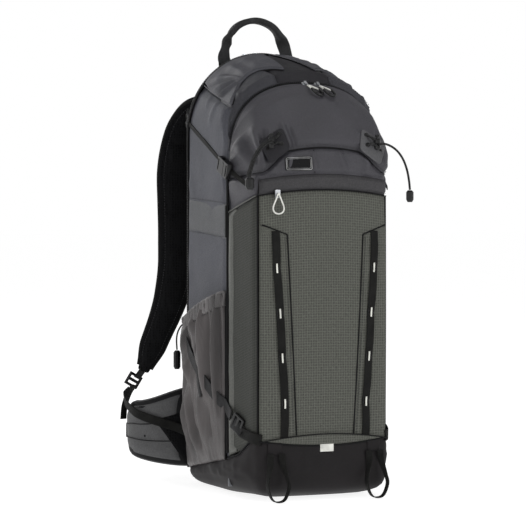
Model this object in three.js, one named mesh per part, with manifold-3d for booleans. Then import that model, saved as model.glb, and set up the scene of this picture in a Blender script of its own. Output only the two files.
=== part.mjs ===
// Ski touring backpack of about 40 litres, in millimetres, standing upright on its base.
// +Z is up, -Y is the outward front face, and +Y is the wearer's side with the harness.
// The origin is on the flat face that the pack stands on. Heights below are measured from
// the lower seam, and the whole pack is raised by STAND at the end.
import * as THREE from "three";
import { mergeVertices } from "three/addons/utils/BufferGeometryUtils.js";
import Module from "manifold-3d";

const wasm = await Module();
wasm.setup();

// Driving dimensions
const GAP = 0.4; // between pieces that touch
const HALF_WIDTH = 120; // half the width of the main compartment
const RIM_Y = 138; // rear edge of the compartment walls
const DIVIDER_Y = -38; // rear face of the wall behind the front pockets
const WALL = 5; // padded fabric wall
const ARCH_Z = 549; // height where the side walls turn into the top arch
const ARCH_RISE = 121; // rise of the arch at the rear rim
const ARCH_DROP = 34; // how much less it rises at the divider
const STAND = 9; // the rounded bottom reaches this far below the lower seam
const BASE_FLOOR = 6; // height of the inside of the reinforced bottom
const BASE_TOP = 75; // height of the coated lower front
const FRONT_Y = -130; // front face of the pockets
const SEAM_X = 103; // half distance between the two front corner seams
const LID_Z = 452; // where the front pocket meets the top pocket
const PANEL_Y = 144.4; // inner face of the hinged back panel
const HINGE_Z = 12; // height of the back panel's sewn hinge

const COLOURS = {
  slate: 0x53535a,
  green: 0x5a5b56,
  black: 0x2c2b2d,
  webbing: 0x1d1d1c,
  grey: 0x4a4a4c,
  plastic: 0x1b1b1c,
  mesh: 0x242424,
  metal: 0xb9bcc0,
  cord: 0x191919,
  pale: 0xd9dad2,
};
const material = (colour, roughness = 0.85, metalness = 0) =>
  new THREE.MeshStandardMaterial({ color: COLOURS[colour], roughness, metalness });

const V = (x, y, z) => new THREE.Vector3(x, y, z);
const lerp = THREE.MathUtils.lerp;
const smooth = (a, b, t) => lerp(a, b, THREE.MathUtils.smoothstep(t, 0, 1));

// ---------- shape builders ----------

function closedMesh(points, faces) {
  const geometry = new THREE.BufferGeometry().setFromPoints(points);
  geometry.setIndex(faces.flat());
  geometry.computeVertexNormals();
  return geometry;
}

// Rings of the same number of points, each star-shaped about its middle, joined and capped.
function loft(rings) {
  const count = rings[0].length;
  const points = rings.flat();
  const faces = [];
  for (let r = 0; r + 1 < rings.length; r++)
    for (let i = 0; i < count; i++) {
      const a = r * count + i;
      const b = r * count + ((i + 1) % count);
      faces.push([a, b, b + count], [a, b + count, a + count]);
    }
  for (const [ring, flip] of [[0, true], [rings.length - 1, false]]) {
    const middle = points.length;
    const centre = rings[ring].reduce((sum, p) => sum.add(p), V(0, 0, 0));
    points.push(centre.divideScalar(count));
    for (let i = 0; i < count; i++) {
      const a = ring * count + i;
      const b = ring * count + ((i + 1) % count);
      faces.push(flip ? [middle, b, a] : [middle, a, b]);
    }
  }
  return outward(closedMesh(points, faces));
}

// A thin closed sheet between two surfaces given as functions of (u, v) in 0..1.
function sheet(outer, inner, nu, nv) {
  const faces = [];
  const grid = (surface) =>
    Array.from({ length: (nu + 1) * (nv + 1) }, (_, i) =>
      surface((i % (nu + 1)) / nu, Math.floor(i / (nu + 1)) / nv));
  const points = [...grid(outer), ...grid(inner)];
  const layer = (nu + 1) * (nv + 1);
  const at = (i, j) => j * (nu + 1) + i;
  for (let j = 0; j < nv; j++)
    for (let i = 0; i < nu; i++) {
      const [a, b, c, d] = [at(i, j), at(i + 1, j), at(i + 1, j + 1), at(i, j + 1)];
      faces.push([a, b, c], [a, c, d]);
      faces.push([a + layer, c + layer, b + layer], [a + layer, d + layer, c + layer]);
    }
  const edge = [];
  for (let i = 0; i < nu; i++) edge.push(at(i, 0));
  for (let j = 0; j < nv; j++) edge.push(at(nu, j));
  for (let i = nu; i > 0; i--) edge.push(at(i, nv));
  for (let j = nv; j > 0; j--) edge.push(at(0, j));
  edge.forEach((a, k) => {
    const b = edge[(k + 1) % edge.length];
    faces.push([b, a, a + layer], [b, a + layer, b + layer]);
  });
  return outward(closedMesh(points, faces));
}

function signedVolume(geometry) {
  const p = geometry.getAttribute("position");
  const index = geometry.index.array;
  const corner = (i) => V(p.getX(i), p.getY(i), p.getZ(i));
  let volume = 0;
  for (let i = 0; i < index.length; i += 3)
    volume += corner(index[i]).dot(corner(index[i + 1]).cross(corner(index[i + 2])));
  return volume;
}

function outward(geometry) {
  if (signedVolume(geometry) < 0) {
    const index = geometry.index.array;
    for (let i = 0; i < index.length; i += 3)
      [index[i + 1], index[i + 2]] = [index[i + 2], index[i + 1]];
  }
  return geometry;
}

function curveThrough(points, steps) {
  return new THREE.CatmullRomCurve3(points, false, "centripetal").getPoints(steps);
}

// Flat webbing along a line of points. across(t) is the direction of its width.
function ribbon(points, across, width, thickness) {
  const last = points.length - 1;
  const rings = points.map((p, i) => {
    const along = points[Math.min(i + 1, last)].clone();
    along.sub(points[Math.max(i - 1, 0)]).normalize();
    const side = across(i / last).clone();
    side.sub(along.clone().multiplyScalar(side.dot(along))).normalize();
    const out = side.clone().cross(along).normalize();
    const w = (typeof width === "function" ? width(i / last) : width) / 2;
    const h = (typeof thickness === "function" ? thickness(i / last) : thickness) / 2;
    return [[-w, -h], [w, -h], [w, h], [-w, h]].map(([a, b]) =>
      p.clone().addScaledVector(side, a).addScaledVector(out, b));
  });
  return loft(rings);
}

// A round cord along a line of points.
function cord(points, diameter) {
  const section = new THREE.Shape().absarc(0, 0, diameter / 2, 0, Math.PI * 2);
  const path = new THREE.CatmullRomCurve3(points, false, "centripetal");
  const steps = Math.min(80, Math.ceil(path.getLength() / (2.5 * diameter)));
  return new THREE.ExtrudeGeometry(section, { steps, curveSegments: 4, extrudePath: path });
}

const solid = (geometry) => {
  const bare = geometry.index ? geometry.toNonIndexed() : geometry.clone();
  bare.deleteAttribute("normal");
  bare.deleteAttribute("uv");
  const merged = mergeVertices(bare, 1e-3);
  return new wasm.Manifold(new wasm.Mesh({
    numProp: 3,
    vertProperties: new Float32Array(merged.getAttribute("position").array),
    triVerts: new Uint32Array(merged.index.array),
  }));
};

function fromSolid(made) {
  const mesh = made.getMesh();
  const geometry = new THREE.BufferGeometry();
  geometry.setAttribute("position", new THREE.BufferAttribute(mesh.vertProperties, 3));
  geometry.setIndex(new THREE.BufferAttribute(mesh.triVerts, 1));
  geometry.computeVertexNormals();
  return geometry;
}

const cut = (body, ...tools) =>
  fromSolid(tools.reduce((left, tool) => left.subtract(solid(tool)), solid(body)));
const join = (...bodies) => fromSolid(bodies.map(solid).reduce((a, b) => a.add(b)));

function box(low, high) {
  const size = high.clone().sub(low);
  const centre = high.clone().add(low).multiplyScalar(0.5);
  return new THREE.BoxGeometry(size.x, size.y, size.z).translate(centre.x, centre.y, centre.z);
}

// An outline in X and Z, given as a Shape in (x, z), made into a plate from y0 to y1.
function plate(shape, y0, y1, segments = 12) {
  const settings = { depth: y1 - y0, bevelEnabled: false, curveSegments: segments };
  return new THREE.ExtrudeGeometry(shape, settings).rotateX(Math.PI / 2).translate(0, y1, 0);
}

function mirrored(geometry) {
  const copy = geometry.index ? geometry.clone() : mergeVertices(geometry.clone());
  copy.scale(-1, 1, 1);
  const index = copy.index.array;
  for (let i = 0; i < index.length; i += 3)
    [index[i + 1], index[i + 2]] = [index[i + 2], index[i + 1]];
  return copy;
}

// A Group's matrix that puts local +X along `along` and local +Z near `up`, at a place.
function oriented(geometry, place, along, up) {
  const x = along.clone().normalize();
  const y = up.clone().cross(x).normalize();
  const z = x.clone().cross(y);
  const basis = new THREE.Matrix4().makeBasis(x, y, z).setPosition(place);
  return geometry.clone().applyMatrix4(basis);
}

const pack = new THREE.Group();
function add(name, geometry, finish) {
  const mesh = new THREE.Mesh(geometry, finish);
  mesh.name = name;
  pack.add(mesh);
}
function addPair(name, geometry, finish) {
  add(`${name}_left`, geometry, finish);
  add(`${name}_right`, mirrored(geometry), finish);
}

// ---------- main compartment ----------

const archRise = (y) =>
  ARCH_RISE - ARCH_DROP * Math.pow((RIM_Y - y) / (RIM_Y - DIVIDER_Y), 1.6);

// Outline of the pack seen from the rear: straight sides and a half ellipse on top.
function archShape(half, rise, bottom) {
  const shape = new THREE.Shape();
  shape.moveTo(-half, bottom);
  shape.lineTo(half, bottom);
  shape.lineTo(half, ARCH_Z);
  shape.absellipse(0, ARCH_Z, half, rise, 0, Math.PI, false);
  shape.lineTo(-half, bottom);
  return shape;
}

function sidePanel() {
  const low = V(-HALF_WIDTH, DIVIDER_Y, BASE_FLOOR + GAP);
  return box(low, V(WALL - HALF_WIDTH, RIM_Y, ARCH_Z));
}

function topPanel() {
  const surface = (inset) => (u, v) => {
    const y = lerp(DIVIDER_Y, RIM_Y, v);
    const angle = Math.PI * (1 - u);
    const x = (HALF_WIDTH - inset) * Math.cos(angle);
    return V(x, y, ARCH_Z + GAP + (archRise(y) - inset) * Math.sin(angle));
  };
  return sheet(surface(0), surface(WALL), 24, 5);
}

const divider = () =>
  plate(archShape(HALF_WIDTH - 1, archRise(DIVIDER_Y) - 1, BASE_FLOOR + GAP),
    DIVIDER_Y - 3, DIVIDER_Y - GAP);

// Half of the plan outline, from the divider round the front corner to the middle.
function frontOutline(z, front = FRONT_Y, seam = SEAM_X, side = HALF_WIDTH - 2) {
  const back = DIVIDER_Y - 3 - GAP;
  const half = [
    [side, back], [side - 2, -60], [seam + 5, -100], [seam + 1.5, front + 12],
    [seam - 4, front + 3.5], [seam - 16, front], [55, front - 2], [20, front - 3],
  ];
  const right = half.map(([x, y]) => V(x, y, z));
  const left = half.map(([x, y]) => V(-x, y, z)).reverse();
  return [...right, ...left];
}

// The coated bottom: rounded underneath, tall in front, and open to the compartment above.
function basePanel() {
  const corner = 24;
  const level = (z, inset) => {
    const side = HALF_WIDTH - inset;
    const rear = RIM_Y - inset;
    const ring = frontOutline(z, FRONT_Y + inset, SEAM_X - inset, side - 1);
    for (const [x, dx] of [[-1, 0], [1, 1]])
      for (let i = 0; i <= 4; i++) {
        const angle = (Math.PI / 8) * (dx ? 4 - i : i);
        ring.push(V(x * (side - corner + corner * Math.cos(angle)),
          rear - corner + corner * Math.sin(angle), z));
      }
    return ring;
  };
  const block = loft([[-STAND, 17], [1 - STAND, 10], [4 - STAND, 4], [0, 1], [6, 0], [BASE_TOP, 0]]
    .map(([z, inset]) => level(z, inset)));
  const inside = box(V(-200, DIVIDER_Y - 3 - GAP, BASE_FLOOR), V(200, 200, BASE_TOP + 10));
  return cut(block, inside);
}

// The zip's tape and coil run up one side of the rear rim, over the arch and down the other.
function rearZipper() {
  const inset = 6;
  const half = HALF_WIDTH - inset;
  const line = [V(-half, 0, 40), V(-half, 0, 300), V(-half, 0, ARCH_Z - 20)];
  for (let i = 0; i <= 20; i++) {
    const angle = Math.PI * (1 - i / 20);
    line.push(V(half * Math.cos(angle), 0, ARCH_Z + (ARCH_RISE - inset) * Math.sin(angle)));
  }
  line.push(V(half, 0, ARCH_Z - 20), V(half, 0, 300), V(half, 0, 40));
  line.forEach((p) => p.setY(RIM_Y + 3.2));
  return ribbon(line, () => V(0, 1, 0), 5.2, 9);
}

// ---------- front pockets ----------

function frontPocket() {
  const levels = [BASE_TOP + GAP, 110, 180, 260, 340, 410, LID_Z];
  return loft(levels.map((z) => {
    const fullness = Math.sin(Math.PI * (z - BASE_TOP) / (LID_Z - BASE_TOP));
    return frontOutline(z, FRONT_Y - 1.5 * fullness);
  }));
}

// The domed pocket: squarish arches that lean back from its front face to the rear zip.
// Each row is y, half width, height where the arch starts, and height of its top.
const DOME = [
  [DIVIDER_Y - 3 - GAP, 117.5, 520, 628], [-56, 116.5, 515, 617], [-70, 114, 508, 606],
  [-85, 111, 498, 592], [-100, 108, 487, 575], [-112, 106, 476, 558], [-121, 104.5, 468, 540],
  [-127, 102, 461, 520], [-130.5, 96, 457, 492],
];
const squarish = (value) => Math.sign(value) * Math.pow(Math.abs(value), 2 / 2.4);
function topPocket() {
  return loft(DOME.map(([y, half, shoulder, apex]) => {
    const ring = [V(half, y, LID_Z + GAP)];
    for (let i = 0; i <= 16; i++) {
      const angle = (Math.PI * i) / 16;
      ring.push(V(half * squarish(Math.cos(angle)), y,
        shoulder + (apex - shoulder) * squarish(Math.max(0, Math.sin(angle)))));
    }
    ring.push(V(-half, y, LID_Z + GAP));
    return ring;
  }));
}

// Stretch pocket on the side wall: sewn down both sides and along the bottom, open on top.
const POCKET = {
  back: 132, front: -36, low: 22, mouthBack: 252, mouthFront: 302, bulge: 15, skin: 2,
};
const mouthZ = (u) => lerp(POCKET.mouthFront, POCKET.mouthBack, u);
function pocketOut(u, v) {
  const round = Math.pow(Math.sin(Math.PI * u), 0.55) * Math.pow(Math.min(1, v * 3.2), 0.5);
  return HALF_WIDTH + GAP + POCKET.bulge * round;
}
function stretchPocket() {
  const surface = (depth) => (u, v) =>
    V(-pocketOut(u, v) - depth, lerp(POCKET.front, POCKET.back, u), lerp(POCKET.low, mouthZ(u), v));
  return sheet(surface(POCKET.skin), surface(0), 14, 7);
}

// ---------- webbing, buckles and loops on the pack ----------

const UPPER = { start: V(-121.6, 126, 562), bend: V(-121.6, -34, 494) };
const upperLine = () => [
  UPPER.start, V(-121.6, 46, 528), UPPER.bend, V(-121.0, -58, 484), V(-116.4, -85, 472),
  V(-110.4, -112, 459),
];
const UPPER_ALONG = V(0.06, -0.915, -0.4).normalize();
const OUTWARD_LEFT = V(-1, 0, 0);

// Side-release buckle for 15 mm webbing, in its own frame: +X is the way the plug comes out.
const BUCKLE = { width: 24, thick: 8, socket: 22, plug: 15, prong: 13 };
function socketBody() {
  const { width, thick, socket, prong } = BUCKLE;
  const shell = box(V(-socket, -width / 2, 0), V(0, width / 2, thick));
  const throat = box(V(-prong - 2, -width / 2 + 3, 1.6), V(1, width / 2 - 3, thick - 1.6));
  const windows = [[-14, -7], [7, 14]].map(([from, to]) =>
    box(V(-prong, from, 1.6), V(-prong + 8, to, thick - 1.6)));
  const bar = box(V(-socket + 2.5, -8.5, -1), V(-socket + 5, 8.5, thick + 1));
  return cut(shell, throat, ...windows, bar);
}
function plugBody() {
  const { width, thick, plug, prong } = BUCKLE;
  const head = box(V(0.5, -width / 2, 0), V(plug, width / 2, thick));
  const slot = box(V(plug - 6, -8.5, -1), V(plug - 3, 8.5, thick + 1));
  const fingers = [-7, 0, 7].map((y) =>
    box(V(-prong, y - 1.6, 2.4), V(2, y + 1.6, thick - 2.4)));
  return cut(join(head, ...fingers), slot);
}
const upperPlace = () => UPPER.bend.clone().add(V(-1.4, -14, -5.9));

// Lies over the stretch pocket, from the rear seam down to the front corner's ladderlock.
function lowerStrap() {
  const from = V(0, 130, 236);
  const to = V(0, -64, 116);
  const line = Array.from({ length: 19 }, (_, i) => {
    const p = from.clone().lerp(to, i / 18);
    const u = THREE.MathUtils.clamp((p.y - POCKET.front) / (POCKET.back - POCKET.front), 0, 1);
    const v = (p.z - POCKET.low) / (mouthZ(u) - POCKET.low);
    return p.setX(-Math.max(HALF_WIDTH + 2, pocketOut(u, v) + POCKET.skin + 3.6));
  });
  return ribbon(line, () => V(0, 0.5, 0.86), 18, 1.6);
}

function ladderlock(width, length, thick, slot) {
  const frame = box(V(-length / 2, -width / 2, 0), V(length / 2, width / 2, thick));
  const gaps = [-0.5, 0.5].map((k) =>
    box(V(k * slot - 2, -width / 2 + 2.6, -1), V(k * slot + 2, width / 2 - 2.6, thick + 1)));
  return cut(frame, ...gaps);
}

const LOCK_LOW = {
  place: V(-117.6, -80, 105), along: V(0.3, -0.8, -0.52), up: V(-0.94, -0.32, -0.06),
};

// A webbing loop that hangs from the foot of the front face.
const LOOP_TOP = 64;
function toolLoop(x) {
  const low = 2.4 - STAND;
  const side = [
    [9, -137.2, LOOP_TOP], [10, -140, 48], [15, -144, 28], [17, -147, 14], [10, -148, low + 4],
  ];
  const path = [
    ...side.map(([dx, y, z]) => V(x + dx, y, z)), V(x, -148, low),
    ...side.reverse().map(([dx, y, z]) => V(x - dx, y, z)),
  ];
  const twist = (t) => {
    const flat = Math.pow(Math.abs(2 * t - 1), 3);
    return V(flat, -(1 - flat), 0);
  };
  return ribbon(curveThrough(path, 32), twist, 10, 1.5);
}

// ---------- zips ----------

// The arched zips are close to circles, so their sliders swing about a centre on the Y axis.
const TOP_ZIP = { y: -62, centre: 444, radius: 170.2, left: -3, right: 17 };
const REAR_ZIP = { y: RIM_Y + 5.8, centre: ARCH_Z, radius: 122.4, left: -22, right: -5 };
const onArc = (zip, x) => V(x, zip.y, zip.centre + Math.sqrt(zip.radius ** 2 - x * x));
function slider() {
  const body = box(V(-4.6, -5, 0), V(4.6, 5, 3.4));
  const bridge = box(V(-2, -4, 3), V(2, 4, 6.4));
  const eye = box(V(-3, -2.4, 3.4), V(3, 1.6, 5));
  return cut(join(body, bridge), eye);
}
function placedSlider(zip, x, lean) {
  const place = onArc(zip, x);
  const out = V(x, lean * zip.radius, place.z - zip.centre).normalize();
  return oriented(slider(), place, V(place.z - zip.centre, 0, -x), out);
}

// A cord loop with a moulded end, hanging from a slider.
function pull(top, down, across, length, width) {
  const normal = down.clone().cross(across).normalize();
  const outline = new THREE.Shape();
  outline.moveTo(-1.4, 0);
  outline.quadraticCurveTo(-width / 2, -length * 0.45, -width / 2, -length + width / 2);
  outline.absarc(0, -length + width / 2, width / 2, Math.PI, 0, false);
  outline.quadraticCurveTo(width / 2, -length * 0.45, 1.4, 0);
  outline.closePath();
  const hole = new THREE.Path();
  const inner = width / 2 - 2.2;
  hole.moveTo(0, -7);
  hole.quadraticCurveTo(inner, -length * 0.5, inner, -length + width / 2);
  hole.absarc(0, -length + width / 2, inner, 0, -Math.PI, true);
  hole.quadraticCurveTo(-inner, -length * 0.5, 0, -7);
  outline.holes.push(hole);
  const settings = { depth: 2.4, bevelEnabled: false, curveSegments: 6 };
  const flat = new THREE.ExtrudeGeometry(outline, settings).translate(0, 0, -1.2);
  const basis = new THREE.Matrix4()
    .makeBasis(across.clone().normalize(), down.clone().negate().normalize(), normal)
    .setPosition(top);
  return flat.applyMatrix4(basis);
}

const FRONT_SLIDER = { x: -77, z: 449 };
function frontSlider() {
  const { x, z } = FRONT_SLIDER;
  const y = FRONT_Y - 3.4;
  return box(V(x - 4, y - 3.6, z - 6), V(x + 4, y, z + 6));
}

// ---------- tool keepers: cord locks and bungee cords ----------

const LOCK = { x: 86, y: -133, z: 516, length: 17, eye: 8 };
function cordLock() {
  const barrel = new THREE.LatheGeometry(
    [[0, 0], [3.6, 0], [4.8, 1.6], [4.8, LOCK.length - 2], [3.9, LOCK.length], [2.9, LOCK.length],
      [2.9, LOCK.length - 6], [0, LOCK.length - 6]].map(([r, y]) => new THREE.Vector2(r, y)), 12)
    .rotateX(Math.PI / 2);
  const eye = new THREE.CylinderGeometry(1.9, 1.9, 20, 8).translate(0, 0, LOCK.eye);
  return cut(barrel, eye).translate(-LOCK.x, LOCK.y, LOCK.z);
}
const plunger = () =>
  new THREE.LatheGeometry(
    [[0, 0], [2.6, 0], [2.6, 5.4], [3.6, 5.4], [3.6, 7.6], [2.8, 8.4], [0, 8.4]]
      .map(([r, y]) => new THREE.Vector2(r, y)), 12)
    .rotateX(Math.PI / 2)
    .translate(-LOCK.x, LOCK.y, LOCK.z + LOCK.length - 2.7);

// The route of each free cord, from where it leaves its lock to its end tab.
const CORD = 3.4;
const LEFT_CORD = [
  V(-86, -138.4, 524), V(-88, -141, 524.8), V(-90.5, -143.2, 525), V(-93.5, -145.2, 524.6),
  V(-97, -146.8, 523.3), V(-101, -148, 521), V(-105, -148.8, 518), V(-108.5, -149.2, 514.5),
  V(-112, -149.2, 510), V(-115, -148.9, 505), V(-117.6, -148.2, 499.5), V(-119.8, -147.2, 493.5),
  V(-121.5, -145.8, 487), V(-122.8, -144, 480.5), V(-123.5, -142, 474),
];
const RIGHT_CORD = [
  V(86, -138.4, 524), V(88.4, -141.2, 524.6), V(91.4, -143.6, 524.8), V(95, -146, 524),
  V(99, -147.9, 522.3), V(103.4, -149.3, 519.8), V(107.6, -150.3, 516.7), V(111.6, -151, 513),
  V(115.4, -151.5, 508.4), V(119, -151.7, 503), V(122.3, -151.5, 497), V(125.2, -151, 490.3),
  V(127.8, -150.2, 483.2), V(130, -149.2, 475.2), V(132, -148.1, 466), V(133.5, -147, 456),
];
const POCKET_CORD = [
  V(-124, 141, 246), V(-124.6, 143, 245.6), V(-125.4, 145.1, 244.7), V(-126.5, 147.1, 243.3),
  V(-127.8, 149, 241.4), V(-129.1, 150.6, 239), V(-130.4, 151.9, 236.2), V(-131.6, 152.9, 233),
  V(-132.6, 153.6, 229.6), V(-133.3, 154, 226), V(-133.8, 154.1, 222.2), V(-134, 154.1, 218.2),
  V(-134, 153.9, 213.8), V(-133.8, 153.5, 208.8), V(-133.6, 153, 203),
];

function endTab(end, length, width) {
  const shape = new THREE.LatheGeometry(
    [[0, 0], [width * 0.3, 0], [width * 0.5, 3], [width * 0.5, length - 4], [width * 0.32, length],
      [0, length]].map(([r, y]) => new THREE.Vector2(r, y)), 10)
    .rotateX(-Math.PI / 2)
    .scale(1, 0.62, 1);
  return shape.translate(end.x, end.y, end.z - 2 * GAP);
}

// ---------- hinged back panel and harness ----------

const backPanel = () =>
  plate(archShape(HALF_WIDTH - 3, ARCH_RISE - 3, HINGE_Z + 2), PANEL_Y, PANEL_Y + 4);
const frameSheet = () =>
  plate(archShape(HALF_WIDTH - 14, ARCH_RISE - 22, 34), PANEL_Y + 4.4, PANEL_Y + 6.4);
const STAY_Y = PANEL_Y + 6.8;
const stay = () => box(V(-6.5, STAY_Y, 40), V(6.5, STAY_Y + 3, 620));

// Moulded foam either side of the air channel that holds the stay.
function backPad() {
  const outline = new THREE.Shape();
  outline.moveTo(-18, 176);
  outline.lineTo(-92, 176);
  outline.quadraticCurveTo(-104, 176, -104, 190);
  outline.lineTo(-104, 540);
  outline.quadraticCurveTo(-100, 590, -56, 612);
  outline.quadraticCurveTo(-34, 620, -18, 612);
  outline.closePath();
  return plate(outline, STAY_Y, STAY_Y + 15, 6);
}

function lumbarPad() {
  const outline = new THREE.Shape();
  outline.moveTo(-96, 22);
  outline.lineTo(96, 22);
  outline.quadraticCurveTo(106, 22, 106, 34);
  outline.lineTo(104, 150);
  outline.quadraticCurveTo(102, 166, 84, 166);
  outline.lineTo(-84, 166);
  outline.quadraticCurveTo(-102, 166, -104, 150);
  outline.lineTo(-106, 34);
  outline.quadraticCurveTo(-106, 22, -96, 22);
  return plate(outline, STAY_Y + 3.4, STAY_Y + 19, 5);
}

// Contoured shoulder strap: out over the wearer's shoulder and back in towards the waist.
const STRAP = [
  V(-52, 180, 592), V(-60, 193, 597), V(-74, 209, 586), V(-86, 224, 560), V(-95, 234, 528),
  V(-102, 239, 488), V(-103, 240, 440), V(-102, 238, 385), V(-104, 236, 335), V(-113, 237, 289),
  V(-123, 241, 255), V(-138, 249, 213), V(-151, 256, 175), V(-156, 258, 162),
];
function shoulderStrap() {
  const points = curveThrough(STRAP, 30);
  const width = (t) => smooth(50, 62, t * 2.4) - smooth(0, 20, (t - 0.55) * 2.6);
  const across = (t) => V(1, smooth(0.1, -0.35, t), 0);
  return ribbon(points, across, width, 12);
}

// Webbing from the strap's adjuster, round the outside of the hip wing, to the panel's corner.
const lowerWebbing = () =>
  ribbon(curveThrough([
    V(-177, 262, 132), V(-190, 250, 123), V(-193, 228, 112), V(-187, 199, 100), V(-165, 177, 90),
    V(-134, 167.5, 80), V(-121, 160, 74), V(-114, 152, 68),
  ], 18), () => V(0.1, 0.1, 1), 18, 1.8);
const ADJUSTER = { place: V(-169, 263, 147), along: V(-0.5, 0.1, -0.86), up: V(-0.3, 0.95, 0.2) };

// Padded hip-belt wing: an arc from the lumbar pad round the wearer's waist.
const WING = [
  V(-100, 176, 0), V(-130, 178, 0), V(-158, 186, 0), V(-176, 203, 0), V(-182, 226, 0),
  V(-177, 252, 0), V(-166, 276, 0), V(-150, 298, 0),
];
function hipWing() {
  const line = curveThrough(WING, 24);
  const pad = 11;
  const surface = (shift) => (u, v) => {
    const i = Math.round(u * 24);
    const along = line[Math.min(i + 1, 24)].clone();
    along.sub(line[Math.max(i - 1, 0)]).normalize();
    const out = V(-along.y, along.x, 0).multiplyScalar(-1);
    const low = smooth(16, 34, u * 1.3);
    const high = lerp(smooth(140, 118, u * 2), 96, Math.max(0, u - 0.5) * 2);
    return line[i].clone().addScaledVector(out, shift).setZ(lerp(low, high, v));
  };
  return sheet(surface(-pad / 2), surface(pad / 2), 24, 3);
}

const BELT_END = V(-150, 298, 65);
const BELT_ALONG = V(0.6, 0.8, 0);
const BELT_OUT = V(-0.8, 0.6, 0);
function beltSocket() {
  const body = box(V(16, -19, -5), V(54, 19, 5));
  const throat = box(V(25, -14, -2.6), V(55, 14, 2.6));
  const web = box(V(1, -12.5, -1.2), V(18, 12.5, 1.2));
  return oriented(cut(join(body, web), throat), BELT_END, BELT_ALONG, BELT_OUT);
}
function beltPlug() {
  const head = box(V(16, -19, -5), V(28, 19, 5));
  const fingers = [-10, 0, 10].map((y) => box(V(26, y - 2, -1.8), V(52, y + 2, 1.8)));
  const web = box(V(1, -12.5, -1.2), V(18, 12.5, 1.2));
  return mirrored(oriented(join(head, web, ...fingers), BELT_END, BELT_ALONG, BELT_OUT));
}

// Flat at its feet, where the rear zip's sliders pass in front of them, and edge-on at the top.
function grabHandle() {
  const foot = PANEL_Y + 7.6;
  const top = PANEL_Y + 10;
  const side = [[-52, foot, 660.6], [-54, foot, 672], [-46, top, 699], [-29, top, 721]];
  const path = [
    ...side.map(([x, y, z]) => V(x, y, z)), V(0, top, 730),
    ...side.reverse().map(([x, y, z]) => V(-x, y, z)),
  ];
  const twist = (t) => {
    const flat = THREE.MathUtils.smoothstep(Math.abs(2 * t - 1), 0.4, 0.78);
    return V(flat * Math.sign(0.5 - t), 1 - flat, 0);
  };
  return ribbon(curveThrough(path, 32), twist, 22, 3);
}

// Sternum strap: a short web from each shoulder strap, with the halves of a small buckle.
const CHEST_Z = 470;
function chestWeb(side, end) {
  const line = [[side * 92, 250.5], [side * 70, 254], [side * 44, 256], [end, 256]];
  const points = line.map(([x, y]) => V(x, y, CHEST_Z));
  return ribbon(curveThrough(points, 8), () => V(0, 0, 1), 15, 1.6);
}
function sternumSocket() {
  const web = chestWeb(-1, -19);
  const body = box(V(-22, 251.5, CHEST_Z - 10), V(4, 260.5, CHEST_Z + 10));
  const throat = box(V(-10, 254, CHEST_Z - 7.4), V(5, 258, CHEST_Z + 7.4));
  return cut(join(web, body), throat);
}
function sternumPlug() {
  const web = chestWeb(1, 17);
  const head = box(V(4.5, 251.5, CHEST_Z - 10), V(18, 260.5, CHEST_Z + 10));
  const fingers = [-5, 5].map((z) =>
    box(V(-8, 254.8, CHEST_Z + z - 1.6), V(6, 257.2, CHEST_Z + z + 1.6)));
  return join(web, head, ...fingers);
}

// ---------- assembly ----------

addPair("side_panel", sidePanel(), material("slate"));
add("top_panel", topPanel(), material("black"));
add("compartment_divider", divider(), material("grey"));
add("base_panel", basePanel(), material("black", 0.6));
add("rear_zipper", rearZipper(), material("webbing"));
add("front_pocket", frontPocket(), material("green"));
add("top_pocket", topPocket(), material("black"));
addPair("stretch_pocket", stretchPocket(), material("slate", 0.6));

const black = material("webbing");
const plastic = material("plastic", 0.4);
const upperStrap = ribbon(curveThrough(upperLine(), 20), () => V(0, 0.4, 0.9), 14, 1.4);
const atUpper = (half) => oriented(half, upperPlace(), UPPER_ALONG, OUTWARD_LEFT);
addPair("upper_strap", upperStrap, black);
addPair("upper_socket", atUpper(socketBody()), plastic);
addPair("upper_plug", atUpper(plugBody()), plastic);
addPair("lower_strap", lowerStrap(), material("grey"));
const lowLock = ladderlock(25, 20, 4, 8);
addPair("lower_ladderlock", oriented(lowLock, LOCK_LOW.place, LOCK_LOW.along, LOCK_LOW.up), plastic);
add("tool_loop_left", toolLoop(-80), black);
add("tool_loop_right", toolLoop(80), black);

for (const side of ["left", "right"]) {
  const x = TOP_ZIP[side];
  add(`top_slider_${side}`, placedSlider(TOP_ZIP, x, -0.75), material("metal", 0.35, 0.9));
  const eye = onArc(TOP_ZIP, x).add(V(0.3, -7.5, -1));
  const hang = V(0.3, -0.68, -0.67);
  add(`top_pull_${side}`, pull(eye, hang, V(0.92, 0.39, 0), 27, 13), material("pale"));
  add(`rear_slider_${side}`, placedSlider(REAR_ZIP, REAR_ZIP[side], 0.1), material("metal", 0.35, 0.9));
}
add("front_slider", frontSlider(), material("metal", 0.35, 0.9));
const frontEye = V(FRONT_SLIDER.x, FRONT_Y - 9.4, FRONT_SLIDER.z - 2);
add("front_pull", pull(frontEye, V(0, 0, -1), V(1, 0, 0), 34, 17), material("pale"));

addPair("cord_lock", cordLock(), material("plastic", 0.35));
addPair("lock_plunger", plunger(), material("plastic", 0.35));
add("tool_cord_left", cord(LEFT_CORD, CORD), material("cord"));
add("tool_cord_right", cord(RIGHT_CORD, CORD), material("cord"));
add("tool_tab_left", endTab(LEFT_CORD.at(-1), 18, 14), material("plastic", 0.5));
add("tool_tab_right", endTab(RIGHT_CORD.at(-1), 18, 12), material("plastic", 0.5));
add("pocket_cord", cord(POCKET_CORD, 2.6), material("cord"));
add("pocket_tab", endTab(POCKET_CORD.at(-1), 30, 12), material("plastic", 0.5));

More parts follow.
